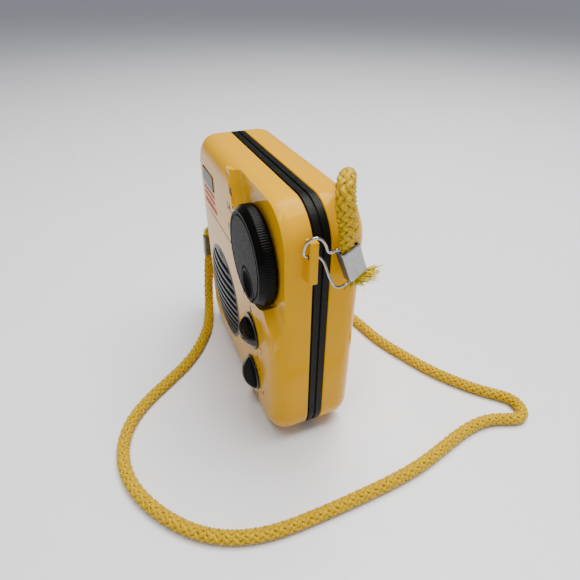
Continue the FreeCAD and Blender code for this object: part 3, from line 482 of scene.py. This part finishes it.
# ---------------------------------------------------------------- pointer knobs
DISC_RAD = 8.25
DISC_BACK = FRONT - 0.25
DISC_FACE = DISC_BACK - 0.8
FIN_LONG = 15.6
FIN_TALL = 4.5
FIN_THICK = 3.2
FIN_EDGE = 0.55
HUB_RAD = 3.6
HUB_BACK = -13.6
BORE_RAD = 2.04
BORE_END = DISC_FACE + 0.3


def pointer_knob(name, centre, turn, body, node, look):
    """A disc with a rounded D-shaped fin across it; turn is the fin's angle about +Y in degrees."""
    profile = [(0, DISC_FACE, 0), (DISC_RAD - 1.6, DISC_FACE, 0), (DISC_RAD - 0.4, DISC_FACE + 0.04, 0),
               (DISC_RAD - 0.12, DISC_FACE + 0.16, 0), (DISC_RAD, DISC_FACE + 0.36, 0),
               (DISC_RAD, DISC_BACK - 0.2, 0), (DISC_RAD - 0.15, DISC_BACK, 0), (HUB_RAD, DISC_BACK, 0),
               (HUB_RAD, HUB_BACK, 0), (BORE_RAD, HUB_BACK, 0), (BORE_RAD, BORE_END, 0), (0, BORE_END, 0)]
    points, faces = lathe(profile, 96, centre)

    # the fin's outline is an arc of this radius, which sinks a little into the disc
    arc_rad = (FIN_LONG ** 2 / 4 + FIN_TALL ** 2) / (2 * FIN_TALL)
    middle = DISC_FACE - FIN_TALL + arc_rad
    root = DISC_FACE + 0.25
    steps, around = 6, 56
    quarter = [math.radians(90 * k / steps) for k in range(steps + 1)]
    edge = [(FIN_THICK / 2 - FIN_EDGE * (1 - math.cos(a)), FIN_EDGE * (1 - math.sin(a))) for a in quarter]
    rows = [(-across, inset) for across, inset in edge] + edge[::-1]
    first = len(points)
    tilt = math.radians(turn)
    for across, inset in rows:
        radius = arc_rad - inset
        half = math.acos((middle - root) / radius)
        for j in range(around):
            angle = half * (2 * j / (around - 1) - 1)
            along = radius * math.sin(angle)
            y = middle - radius * math.cos(angle)
            x = across * math.cos(tilt) + along * math.sin(tilt)
            z = along * math.cos(tilt) - across * math.sin(tilt)
            points.append((centre[0] + x, y, centre[1] + z))
    faces += tube_faces(len(rows), around, first)
    made = piece(name, points, faces, look, body, 38)
    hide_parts(node)


# ---------------------------------------------------------------- speaker grille
GRILLE_RAD = 24.3
GRILLE_RISE = 2.6
GRILLE_SEAT = FRONT + 0.8
RIM_IN = 22.5
BAR_PITCH = 3.75
BAR_GAPS = 11
BAR_TALL = 2.0
BAR_DEEP = 1.3
# how far each bar runs into the rim ring
BAR_ROOT = 0.3


def dome(x, z):
    """The grille's outer surface, as y, at a point measured from the speaker's centre."""
    ball = (GRILLE_RAD ** 2 + GRILLE_RISE ** 2) / (2 * GRILLE_RISE)
    return FRONT + ball - GRILLE_RISE - math.sqrt(ball ** 2 - x * x - z * z)


def louvre(low, high, points, faces):
    """One level bar that follows the dome from rim to rim, with a rounded front."""
    soft = 0.35
    rows = [(low, BAR_DEEP), (low, soft)]
    rows += [(low + soft - soft * math.cos(a), soft - soft * math.sin(a)) for a in (0.5, 1.05)]
    rows += [(low + soft, 0), ((low + high) / 2, -0.05), (high - soft, 0)]
    rows += [(high - soft + soft * math.cos(a), soft - soft * math.sin(a)) for a in (1.05, 0.5)]
    rows += [(high, soft), (high, BAR_DEEP)]
    first, stations = len(points), 40
    for i in range(stations):
        share = 2 * i / (stations - 1) - 1
        for z, back in rows:
            x = share * math.sqrt((RIM_IN + BAR_ROOT) ** 2 - z * z)
            points.append((SPEAKER[0] + x, dome(x, z) + back, SPEAKER[1] + z))
    faces += tube_faces(stations, len(rows), first)


def speaker_grille(look):
    """A domed rim ring and the louvre bars that cross it."""
    inner_back = dome(RIM_IN, 0) + BAR_DEEP + 0.4
    ring = [(RIM_IN, inner_back, 0), (RIM_IN, dome(RIM_IN, 0) + 0.2, 0),
            (RIM_IN + 0.2, dome(RIM_IN + 0.2, 0), 0), (GRILLE_RAD - 0.5, dome(GRILLE_RAD - 0.5, 0), 0),
            (GRILLE_RAD - 0.1, FRONT + 0.06, 0), (GRILLE_RAD, FRONT + 0.25, 0),
            (GRILLE_RAD, GRILLE_SEAT, 0), (GRILLE_RAD - 1.6, GRILLE_SEAT, 0),
            (RIM_IN, inner_back, 0)]
    points, faces = lathe(ring, 160, SPEAKER)
    middle = (BAR_GAPS - 1) / 2
    gap = BAR_PITCH - BAR_TALL
    edges = [(i - middle) * BAR_PITCH for i in range(BAR_GAPS)]
    for lower, upper in zip(edges, edges[1:]):
        louvre(lower + gap / 2, upper - gap / 2, points, faces)
    # the two short bars at the very top and bottom
    last = edges[-1] + gap / 2
    cap = RIM_IN - 0.15
    louvre(last, cap, points, faces)
    louvre(-cap, -last, points, faces)
    grille = piece("speaker_grille_louvres", points, faces, look, "case", 40)
    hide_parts("speaker_grille")


# ---------------------------------------------------------------- clips and ferrules
class Clip:
    """A ferrule's own directions: along its length, across its width, and square to both."""

    def __init__(self, centre, along, across):
        self.centre = Vector(centre)
        self.along = Vector(along).normalized()
        side = Vector(across)
        self.across = (side - self.along * side.dot(self.along)).normalized()
        self.normal = self.across.cross(self.along)

    def at(self, across, along, normal):
        return self.centre + self.across * across + self.along * along + self.normal * normal


RIGHT = Clip((57.9, 7.9, 92.5), (0, 4.0, -10.9), (-1.6, 7.1, 2.4))
LEFT = Clip((-57.4, -15.4, 43.6), (0.02, 0.05, 1), (0, -1, 0.05))
SLEEVE_WIDE = 7.7
SLEEVE_LONG = 11.7
SLEEVE_THICK = 4.4
SLEEVE_SKIN = 0.5


def sleeve_section(grow, seam_side):
    """Points round the folded sheet, from one side of its seam to the other."""
    half_wide, half_thick = SLEEVE_WIDE / 2 + grow, SLEEVE_THICK / 2 + grow
    corner = 0.85 + grow
    arc = []
    for sx, sy, start in ((1, 1, 90), (1, -1, 0), (-1, -1, -90), (-1, 1, -180)):
        centre = (sx * (half_wide - corner), sy * (half_thick - corner))
        arc += rounded(centre, start, start - 90, corner)
    seam = 0.12
    return [(a, b * seam_side) for a, b in [(seam, half_thick), *arc, (-seam, half_thick)]]


def ferrule(name, clip, seam_side, body, node, look):
    """A sleeve folded from sheet: open ends with rolled lips, a butt seam and a light crimp."""
    outer = sleeve_section(0.0, seam_side)
    inner = sleeve_section(-SLEEVE_SKIN, seam_side)
    # (share of the length, how far the sheet bulges or is pressed in there)
    stations = [(-0.5, -0.10), (-0.488, 0.0), (-0.44, 0.06), (-0.40, 0.0), (-0.2, -0.04), (0.0, -0.07),
                (0.2, -0.04), (0.40, 0.0), (0.488, 0.0), (0.5, -0.10)]
    points, ring = [], len(outer) * 2
    for share, bulge in stations:
        for a, b in outer:
            points.append(clip.at(a * (1 + bulge / 8), share * SLEEVE_LONG, b * (1 + bulge / 3)))
        for a, b in reversed(inner):
            points.append(clip.at(a, share * SLEEVE_LONG, b))
    faces = []
    for i in range(len(stations) - 1):
        for j in range(ring):
            k = (j + 1) % ring
            low = i * ring
            faces.append((low + j, low + k, low + ring + k, low + ring + j))
    half = len(outer)
    last = (len(stations) - 1) * ring
    for j in range(half - 1):
        faces.append((j, ring - 1 - j, ring - 2 - j, j + 1))
        faces.append((last + j, last + j + 1, last + ring - 2 - j, last + ring - 1 - j))
    made = piece(name, points, faces, look, body, 32)
    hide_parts(node)


WIRE_RAD = 0.52
WIRE_SIDES = 14
# half the length of the straight run through the lug's eye
EYE_RUN = 3.2


def clip_wire(name, clip, eye, over, under, upper, entry, body, node, look):
    """One bent wire: out of the ferrule, over the lug, through its eye and back to the ferrule.

    over and under are the corners of the two legs. upper is the ferrule end that the leg over the lug
    leaves from, entry the side of the eye it reaches. Cutting the corners four times rounds the path.
    """
    inside = SLEEVE_SKIN + 0.65 - SLEEVE_WIDE / 2
    tip, turn = SLEEVE_LONG / 2 - 2.5, SLEEVE_LONG / 2 + 1.8
    eye, run = Vector(eye), Vector((0, EYE_RUN * entry, 0))
    corners = [clip.at(inside, upper * tip, 0), clip.at(inside, upper * turn, 0), *map(Vector, over),
               eye + run, eye - run,
               *map(Vector, under), clip.at(inside, -upper * turn, 0), clip.at(inside, -upper * tip, 0)]
    for _ in range(4):
        cut = [corners[0]]
        for a, b in zip(corners, corners[1:]):
            cut += [a.lerp(b, 0.25), a.lerp(b, 0.75)]
        corners = [*cut, corners[-1]]
    path = np.array([tuple(c) for c in corners])
    path = path[np.concatenate([[True], np.linalg.norm(np.diff(path, axis=0), axis=1) > 1e-4])]
    _, side, other = frames_along(path)
    ring = np.linspace(0, math.tau, WIRE_SIDES, endpoint=False)
    points = (path[:, None, :] + WIRE_RAD * (side[:, None, :] * np.cos(ring)[None, :, None]
                                             + other[:, None, :] * np.sin(ring)[None, :, None]))
    made = piece(name, points.reshape(-1, 3), tube_faces(len(path), WIRE_SIDES), look, body, 60)
    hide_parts(node)


def clip_wires(look):
    clip_wire("right_bent_wire", RIGHT, (55, -4.95, 95.4),
              [(57.2, -0.4, 96.2), (57.2, -1.8, 100.8), (56.9, -3.9, 103), (56.1, -6.8, 102.4),
               (55.4, -8.1, 99.4)],
              [(57.6, 0.4, 87), (58.6, 2.4, 82.9)], -1, -1, "right_clip", "right_clip_wire", look)
    clip_wire("left_bent_wire", LEFT, (-55, -4.95, 50.0),
              [(-57.2, -9.4, 51.5), (-57.2, -8.1, 55.6), (-56.9, -6, 57.6), (-56.1, -3.1, 57),
               (-55.4, -1.8, 54)],
              [(-57.2, -8.8, 41.5), (-58, -8.6, 35.4)], 1, 1, "left_clip", "left_clip_wire", look)


# ---------------------------------------------------------------- neck cord
# the cord's middle line, from the right ferrule over the case and round on the table to the left one
TABLE = 2.64
CORD_PATH = [
    (57.9, 7.3, 94.0), (57.9, 5.9, 98.2), (57.9, 6.0, 102.4), (57.6, 5.2, 108.5), (57.2, 4.3, 114.4),
    (55.4, 5.0, 118.4), (51, 7.8, 118.8), (46, 10.8, 116.4), (39.5, 14.4, 113.4), (33, 18.3, 111),
    (27.5, 21.8, 106), (23, 24.4, 98), (17, 25.2, 88), (6, 24.6, 78), (-12, 24.2, 68), (-26, 24.2, 59),
    (-36, 24.6, 47.5), (-39.4, 26, 33), (-39.8, 30, 18.5), (-36.4, 37, 8.2), (-29.6, 44.8, 3.6),
    (-20.6, 51, TABLE), (-10.5, 55, TABLE), (0, 57, TABLE), (10.6, 59, TABLE), (29.6, 65.7, TABLE),
    (44.5, 72.6, TABLE), (56, 80.2, TABLE), (67, 90, TABLE), (76, 96, TABLE), (82.4, 93, TABLE),
    (80.2, 82, TABLE), (78.4, 69.6, TABLE), (81.7, 51.1, TABLE), (85.7, 33.7, TABLE), (87.9, 11, TABLE),
    (88.5, -15, TABLE), (86.6, -38.8, TABLE), (79.8, -54.9, TABLE), (67, -68.3, TABLE),
    (51, -77.6, TABLE), (35, -80.4, TABLE), (18.2, -75.6, TABLE), (4.5, -62.9, TABLE),
    (-7, -48, TABLE), (-15, -39.8, TABLE), (-24.5, -32.8, TABLE), (-35.3, -27.1, TABLE),
    (-45.5, -23.6, 3.2), (-52.8, -21.2, 7.4), (-56.2, -19.8, 15), (-57.2, -18.3, 25),
    (-57.6, -17, 33.4), (-57.5, -16.0, 39.5),
]
# one full turn of a bundle, the bundles that turn each way, and the stations along one turn
LEAD = 21.0
STRANDS = 6
TURN_STEPS = 54
BRAID_RAD = 1.80
BRAID_WAVE = 0.34
BUNDLE_HALF = 0.98
BUNDLE_HIGH = 0.58
BUNDLE_SIDES = 10
CORE_RAD = 1.5
CORE_SIDES = 12
# each bundle drifts round the cord by about DRIFT radians, drawn anew every DRIFT_STEP
DRIFT = 0.045
DRIFT_STEP = 12
# how much of the cord, measured from its right and from its left end, is cut off as a separate end piece
RIGHT_END = 30
LEFT_END = 34


def smooth_path(points, step):
    """Evenly spaced points along the natural cubic spline through the given ones."""
    knots = np.array(points, float)
    gaps = np.linalg.norm(np.diff(knots, axis=0), axis=1)
    count = len(knots)
    system = np.zeros((count, count))
    target = np.zeros((count, 3))
    system[0, 0] = system[-1, -1] = 1
    slope = np.diff(knots, axis=0) / gaps[:, None]
    for i in range(1, count - 1):
        system[i, i - 1: i + 2] = gaps[i - 1], 2 * (gaps[i - 1] + gaps[i]), gaps[i]
        target[i] = 6 * (slope[i] - slope[i - 1])
    bend = np.linalg.solve(system, target)
    share = np.linspace(0, 1, 24, endpoint=False)[:, None]
    dense = []
    for i, gap in enumerate(gaps):
        low, high = 1 - share, share
        dense.append(low * knots[i] + high * knots[i + 1]
                     + gap ** 2 / 6 * ((low ** 3 - low) * bend[i] + (high ** 3 - high) * bend[i + 1]))
    dense = np.vstack([*dense, knots[-1:]])
    length = np.concatenate([[0], np.cumsum(np.linalg.norm(np.diff(dense, axis=0), axis=1))])
    even = np.linspace(0, length[-1], round(length[-1] / step) + 1)
    return even, np.stack([np.interp(even, length, dense[:, k]) for k in range(3)], axis=1)


def unit(rows):
    return rows / np.linalg.norm(rows, axis=-1, keepdims=True)


def frames_along(path):
    """Tangents and two square directions that don't twist along the path."""
    tangent = unit(np.gradient(path, axis=0))
    side = np.zeros_like(path)
    side[0] = unit(np.cross(tangent[0], (0, 0, 1.0)) + 1e-9)
    for i in range(1, len(path)):
        kept = side[i - 1] - tangent[i] * np.dot(side[i - 1], tangent[i])
        side[i] = kept / np.linalg.norm(kept)
    return tangent, side, np.cross(tangent, side)


def flatness(length, total):
    """The cord's widening and thinning near its two ferrules, as (wide, thin) per station."""
    right = np.interp(length, [0, 4.5, 8, 17, 26, 34], [1.14, 1.22, 1.5, 1.5, 1.2, 1.03])
    right_thin = np.interp(length, [0, 4.5, 8, 17, 26, 34], [0.62, 0.62, 0.8, 0.9, 1.0, 1.0])
    back = total - length
    left = np.interp(back, [0, 2.5, 8, 20], [1.14, 1.14, 1.12, 1.0])
    left_thin = np.interp(back, [0, 2.5, 8, 20], [0.62, 0.7, 0.9, 1.0])
    return right * left, right_thin * left_thin


def cord(yarn_look):
    """The braided cord in three pieces: the long run, which rides the case, and the two ends by the
    clips.
    """
    length, path = smooth_path(CORD_PATH, LEAD / TURN_STEPS)
    total = length[-1]
    tangent, side, other = frames_along(path)
    wide, thin = flatness(length, total)
    near_left = length > total / 2
    across = np.where(near_left[:, None], np.array(LEFT.across), np.array(RIGHT.across))
    across = unit(across - tangent * np.sum(across * tangent, axis=1, keepdims=True))
    third = np.cross(tangent, across)
    round_section = np.linspace(0, math.tau, BUNDLE_SIDES, endpoint=False)
    lobes = 1 + 0.06 * np.cos(5 * round_section)
    drift_at = np.arange(0, total + DRIFT_STEP, DRIFT_STEP)
    wobble = np.random.default_rng(3)

    def squeezed(offset):
        """Places round the path, drawn out and flattened near the ferrules."""
        wide_part = np.sum(offset * across[:, None, :], axis=2, keepdims=True) * across[:, None, :]
        thin_part = np.sum(offset * third[:, None, :], axis=2, keepdims=True) * third[:, None, :]
        return path[:, None, :] + wide_part * wide[:, None, None] + thin_part * thin[:, None, None]

    tubes = []
    for turn in (1, -1):
        for strand in range(STRANDS):
            drift = np.interp(length, drift_at, wobble.normal(0, DRIFT, len(drift_at)))
            angle = math.tau * (strand / STRANDS + turn * length / LEAD) + drift
            radius = BRAID_RAD + turn * BRAID_WAVE * np.cos(2 * STRANDS * math.pi * length / LEAD)
            outward = np.cos(angle)[:, None] * side + np.sin(angle)[:, None] * other
            around = np.cross(tangent, outward)
            run = unit(tangent + around * (turn * math.tau * BRAID_RAD / LEAD))
            flat = np.cross(outward, run)
            rise = np.cross(run, flat)
            middle = outward * radius[:, None]
            offset = (middle[:, None, :]
                      + flat[:, None, :] * (BUNDLE_HALF * np.cos(round_section) * lobes)[None, :, None]
                      + rise[:, None, :] * (BUNDLE_HIGH * np.sin(round_section) * lobes)[None, :, None])
            tubes.append(squeezed(offset))
    ring = np.linspace(0, math.tau, CORE_SIDES, endpoint=False)
    core = (side[:, None, :] * np.cos(ring)[None, :, None]
            + other[:, None, :] * np.sin(ring)[None, :, None]) * CORE_RAD
    tubes.append(squeezed(core))

    def run_of(name, low, high):
        """The piece of the cord between two stations."""
        points, faces, count = [], [], 0
        for tube in tubes:
            part = tube[low:high + 1]
            faces += tube_faces(part.shape[0], part.shape[1], count)
            count += part.shape[0] * part.shape[1]
            points.append(part.reshape(-1, 3))
        made = piece(name, np.vstack(points), faces, yarn_look, None, 80)
        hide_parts("neck_cord")
        return made

    right_cut = int(np.searchsorted(length, RIGHT_END))
    left_cut = int(np.searchsorted(length, total - LEFT_END))
    last = len(length) - 1
    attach(run_of("neck_cord_run", right_cut, left_cut), "case")
    right = run_of("neck_cord_right_end", 0, right_cut)
    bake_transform(right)
    left = run_of("neck_cord_left_end", left_cut, last)
    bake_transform(left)


# ---------------------------------------------------------------- frayed cord ends
CORE_START = -3.4
CORE_PAST = 1.6
CORE_WIDE, CORE_THIN = 3.2, 1.6
ROOT_WIDE, ROOT_THIN = 2.9, 1.4
FIBRE_SIDES, FIBRE_STEPS = 5, 7
# one fibre in so many is a thin stray that reaches out further
STRAY_EVERY = 16
# how far a fibre's tip may lean towards the case
LEAN_IN = 0.6


def gripped_core(clip):
    """The lightly fluted core that the ferrule grips, rounded off where the fibres start."""
    rows, around, points = 9, 24, []
    for i in range(rows):
        share = i / (rows - 1)
        along = CORE_START + share * (SLEEVE_LONG / 2 - CORE_START + CORE_PAST)
        fat = 1.0 if share < 0.75 else 1.0 - 2.2 * (share - 0.75)
        for j in range(around):
            angle = math.tau * j / around
            reach = fat * (1 + 0.04 * math.cos(9 * angle + 5 * share))
            points.append(clip.at(CORE_WIDE * reach * math.cos(angle), along,
                                  CORE_THIN * reach * math.sin(angle)))
    return points, tube_faces(rows, around)


def fray(name, clip, body, node, count, reach, lean, spread, look):
    """The gripped core inside the ferrule and the loose fibres past its mouth.

    reach is the fibres' length, lean how far they drift along the clip's across and normal, and
    spread how widely they fan out.
    """
    points, faces = gripped_core(clip)
    away = math.copysign(1, clip.normal.x * clip.centre.x)
    for number in range(count):
        angle = DRAW.uniform(0, math.tau)
        out = math.sqrt(DRAW.uniform(0, 1))
        root_a, root_n = ROOT_WIDE * out * math.cos(angle), ROOT_THIN * out * math.sin(angle)
        stray = number % STRAY_EVERY == 0
        long = reach * DRAW.uniform(0.62, 1.0) * (1.25 if stray else 1.0)
        fan = spread * (1.7 if stray else 1.0)
        end_a = root_a * 0.9 + lean[0] * long + DRAW.gauss(0, fan)
        end_n = root_n * 0.9 + lean[1] * long + DRAW.gauss(0, fan * 0.75)
        end_n = away * max(away * end_n, -LEAN_IN)
        start = clip.at(root_a, SLEEVE_LONG / 2 - 1.2, root_n)
        bend = clip.at(root_a * 1.15, SLEEVE_LONG / 2 + long * 0.45, root_n * 1.3)
        tip = clip.at(end_a, SLEEVE_LONG / 2 + long * DRAW.uniform(0.55, 0.95), end_n)
        thick = 0.09 if stray else DRAW.uniform(0.18, 0.30)
        swirl = DRAW.uniform(0.2, 0.5)
        phase = DRAW.uniform(0, math.tau)
        first = len(points)
        for i in range(FIBRE_STEPS):
            share = i / (FIBRE_STEPS - 1)
            middle = (start * (1 - share) ** 2 + bend * 2 * share * (1 - share) + tip * share ** 2)
            middle = middle + (clip.across * math.cos(phase + 5 * share)
                               + clip.normal * math.sin(phase + 5 * share)) * swirl * share
            taper = thick * (1 - 0.45 * share)
            for j in range(FIBRE_SIDES):
                turn = math.tau * j / FIBRE_SIDES
                points.append(middle + clip.across * taper * math.cos(turn)
                              + clip.normal * taper * math.sin(turn))
        faces += tube_faces(FIBRE_STEPS, FIBRE_SIDES, first)
    made = piece(name, [tuple(p) for p in points], faces, look, body, 60)
    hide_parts(node)


# ---------------------------------------------------------------- printing on the front
INK_HIGH = 0.05
# how much the figures' strokes are widened
FIGURE_BOLD = 0.10
# the tuning scale: where its marks start from the wheel's centre, its figures' radius, and the angles
# of the first mark and from one to the next
MARK_RAD = 22.6
FIGURE_RAD = 27.6
SCALE_FROM = 142
SCALE_STEP = 10


def flat_shapes(name, shapes, look):
    """Thin printed shapes on the front panel; each is a list of (x, z) corners."""
    points, faces = [], []
    for shape in shapes:
        first, count = len(points), len(shape)
        for y in (FRONT + INK_HIGH, FRONT - INK_HIGH):
            points += [(x, y, z) for x, z in shape]
        faces += tube_faces(2, count, first)
    return piece(name, points, faces, look, "case", 30)


def bar(x, z, wide, tall, turn=0.0):
    """The corners of a printed bar centred at (x, z), turned in the panel by some degrees."""
    c, s = math.cos(math.radians(turn)), math.sin(math.radians(turn))
    corners = [(-wide / 2, -tall / 2), (wide / 2, -tall / 2), (wide / 2, tall / 2), (-wide / 2, tall / 2)]
    return [(x + a * c - b * s, z + a * s + b * c) for a, b in corners]


def around_knob(centre, radius, angle):
    """The (x, z) place at a radius and an angle in degrees from a knob's centre."""
    turn = math.radians(angle)
    return centre[0] + radius * math.cos(turn), centre[1] + radius * math.sin(turn)


def numbers(name, labels, look):
    """Generic scale figures: (text, x, z, height) rows, raised a hair from the panel."""
    upright = Euler((math.pi / 2, 0, 0)).to_matrix().to_4x4()
    points, faces = [], []
    for text, x, z, height in labels:
        curve = bpy.data.curves.new("figure", "FONT")
        curve.body = text
        curve.size = height / METRE
        curve.extrude = INK_HIGH / METRE
        curve.align_x = "CENTER"
        curve.align_y = "CENTER"
        curve.offset = FIGURE_BOLD / METRE
        temporary = bpy.data.objects.new("figure", curve)
        bpy.context.scene.collection.objects.link(temporary)
        bpy.context.view_layer.update()
        mesh = bpy.data.meshes.new_from_object(temporary)
        bpy.data.objects.remove(temporary)
        mesh.transform(Matrix.Translation(Vector((x, FRONT, z)) / METRE) @ upright)
        first = len(points)
        points += [tuple(v.co * METRE) for v in mesh.vertices]
        faces += [tuple(first + i for i in face.vertices) for face in mesh.polygons]
    return piece(name, points, faces, look, "case", 30)


def printing():
    """Plain stripes, a tuning scale and switch marks, with no words or badge."""
    red = ink("faded_red_ink", (0.50, 0.06, 0.035), (0.60, 0.16, 0.08))
    grey = ink("olive_grey_ink", (0.035, 0.034, 0.022), (0.09, 0.08, 0.045))
    flat_shapes("front_stripes", [bar(-31.5, 86.2, 19, 1.7), bar(-31.5, 83.2, 19, 1.7),
                                  bar(-30.5, 79.6, 21, 2.6)], red)
    marks = [bar(-14, 75.6, 44, 0.5)]
    for step in range(13):
        angle = SCALE_FROM + step * SCALE_STEP
        high = 1.8 if step % 2 == 0 else 1.0
        marks.append(bar(*around_knob(WHEEL, MARK_RAD + high / 2, angle), high, 0.45, angle))
    for step in range(3):
        angle = -10 - step * 45
        marks.append(bar(*around_knob(SWITCH, 10.6, angle), 1.6, 0.6, angle))
    for step in range(9):
        angle = 60 - step * 30
        marks.append(bar(*around_knob(VOLUME, 10.3, angle), 1.2 if step % 4 else 2.0, 0.45, angle))
    flat_shapes("front_scale_marks", marks, grey)
    labels = []
    for step, text in enumerate(("16", "14", "12", "10", "8", "7", "6")):
        x, z = around_knob(WHEEL, FIGURE_RAD, SCALE_FROM + step * 2 * SCALE_STEP)
        labels.append((text, x, z, 4.6))
    labels += [("1", 37.6, 42.4, 2.6), ("2", 31.6, 34.6, 2.6)]
    labels += [("0", 33.8, 29.8, 2.4), ("5", 37.6, 18.4, 2.4), ("10", 28.0, 8.0, 2.4)]
    numbers("front_figures", labels, grey)


# ---------------------------------------------------------------- floor, light and camera
# half the table's side, in metres, and the squares along it
TABLE_HALF = 25.0
TABLE_CELLS = 8


def stage():
    """A wide pale table that the radio stands on."""
    look = Look("pale_table", (0.88, 0.885, 0.91))
    look.tint((0.82, 0.825, 0.85), look.noise(160, 5), 0, 0.6)
    look.rough(look.noise(8, 4), 0.34, 0.5)
    look.bump(look.noise(0.8, 3), 0.01)
    mesh = bpy.data.meshes.new("table")
    row = TABLE_CELLS + 1
    lines = [TABLE_HALF * (2 * i / TABLE_CELLS - 1) for i in range(row)]
    points = [(x, y, 0) for y in lines for x in lines]
    corners = [j * row + i for j in range(TABLE_CELLS) for i in range(TABLE_CELLS)]
    faces = [(low, low + 1, low + row + 1, low + row) for low in corners]
    mesh.from_pydata(points, [], faces)
    mesh.materials.append(look.material)
    table = bpy.data.objects.new("table", mesh)
    bpy.context.scene.collection.objects.link(table)


def area_light(name, place, aim, size, power, colour):
    """A rectangular light at one place, in metres, that faces another."""
    data = bpy.data.lights.new(name, "AREA")
    data.shape = "RECTANGLE"
    data.size, data.size_y = size
    data.energy = power
    data.color = colour
    made = bpy.data.objects.new(name, data)
    made.location = place
    made.rotation_euler = (Vector(aim) - Vector(place)).to_track_quat("-Z", "Y").to_euler()
    bpy.context.scene.collection.objects.link(made)


def lighting():
    """A soft overhead window, a small lamp and a dim room that is darkest to the left."""
    world = bpy.data.worlds.new("room")
    bpy.context.scene.world = world
    world.use_nodes = True
    tree = world.node_tree
    back = tree.nodes["Background"]
    place = tree.nodes.new("ShaderNodeTexCoord")
    split = tree.nodes.new("ShaderNodeSeparateXYZ")
    ramp = tree.nodes.new("ShaderNodeMapRange")
    tree.links.new(place.outputs["Generated"], split.inputs[0])
    tree.links.new(split.outputs["X"], ramp.inputs["Value"])
    ramp.inputs["From Min"].default_value = -0.8
    ramp.inputs["From Max"].default_value = 0.6
    ramp.inputs["To Min"].default_value = 0.16
    ramp.inputs["To Max"].default_value = 0.50
    tree.links.new(ramp.outputs["Result"], back.inputs["Strength"])
    back.inputs["Color"].default_value = (0.88, 0.91, 1.0, 1)
    area_light("window", (-0.10, 0.30, 1.05), (0, 0, 0.05), (0.9, 0.7), 22, (1.0, 0.98, 0.95))
    area_light("lamp", (0.16, -0.16, 0.80), (0.02, 0, 0.08), (0.045, 0.28), 2.2, (1.0, 0.97, 0.92))


CAMERA_AT = (163.55, -57.92, 167.76)
# degrees: how far the view turns to the left from straight ahead, looks down and tips to one side
CAMERA_TURN = (67.39, 35.35, 0.22)
SENSOR, LENS = 36, 27.215


def camera():
    """A close wide view from the right, above the radio and a little in front of it."""
    yaw, pitch, roll = (math.radians(a) for a in CAMERA_TURN)
    look = Vector((-math.sin(yaw) * math.cos(pitch), math.cos(yaw) * math.cos(pitch), -math.sin(pitch)))
    data = bpy.data.cameras.new("view")
    data.sensor_width = SENSOR
    data.lens = LENS
    data.clip_start = 0.01
    data.clip_end = 100
    made = bpy.data.objects.new("view", data)
    turn = look.to_track_quat("-Z", "Y").to_matrix() @ Matrix.Rotation(roll, 3, "Z")
    made.matrix_world = Matrix.Translation(Vector(in_frame(CAMERA_AT))) @ turn.to_4x4()
    bpy.context.scene.collection.objects.link(made)
    bpy.context.scene.camera = made


# ---------------------------------------------------------------- the whole model
def build():
    pointer = pointer_black()
    bright = sheet_metal("ferrule_sheet", (0.40, 0.40, 0.40), (0.30, 0.30, 0.30))
    # painted shade: the same plated sheet as the right ferrule, painted darker because the left ferrule
    # stands in shade
    shade_painted = sheet_metal("shade_painted_sheet", (0.20, 0.19, 0.15), (0.10, 0.095, 0.07))
    # each yarn's second colour is painted shade and its third painted highlight
    cord_look = yarn("cord_yarn", (0.54, 0.33, 0.0), (0.26, 0.145, 0.0), (0.80, 0.53, 0.0))
    fray_look = yarn("frayed_yarn", (0.56, 0.40, 0.004), (0.34, 0.22, 0.001), (0.76, 0.60, 0.03))
    paint_frame_nodes()
    clip_wires(nickel())
    tuning_wheel(wheel_face(), gloss_black())
    pointer_knob("band_pointer_knob", SWITCH, -81, "band", "band_knob", pointer)
    pointer_knob("volume_pointer_knob", VOLUME, -28, "volume", "volume_knob", pointer)
    speaker_grille(grille_black())
    ferrule("right_folded_ferrule", RIGHT, 1, "right_clip", "right_ferrule", bright)
    # the left ferrule takes the sheet with painted shade
    ferrule("left_folded_ferrule", LEFT, -1, "left_clip", "left_ferrule", shade_painted)
    cord(cord_look)
    fray("right_frayed_end", RIGHT, "right_clip", "right_cord_end", 820, 5.6, (0.60, 0.0), 2.3, fray_look)
    fray("left_frayed_end", LEFT, "left_clip", "left_cord_end", 120, 7.0, (-0.1, 0.05), 0.9, fray_look)
    printing()
    stage()
    lighting()
    camera()


build()
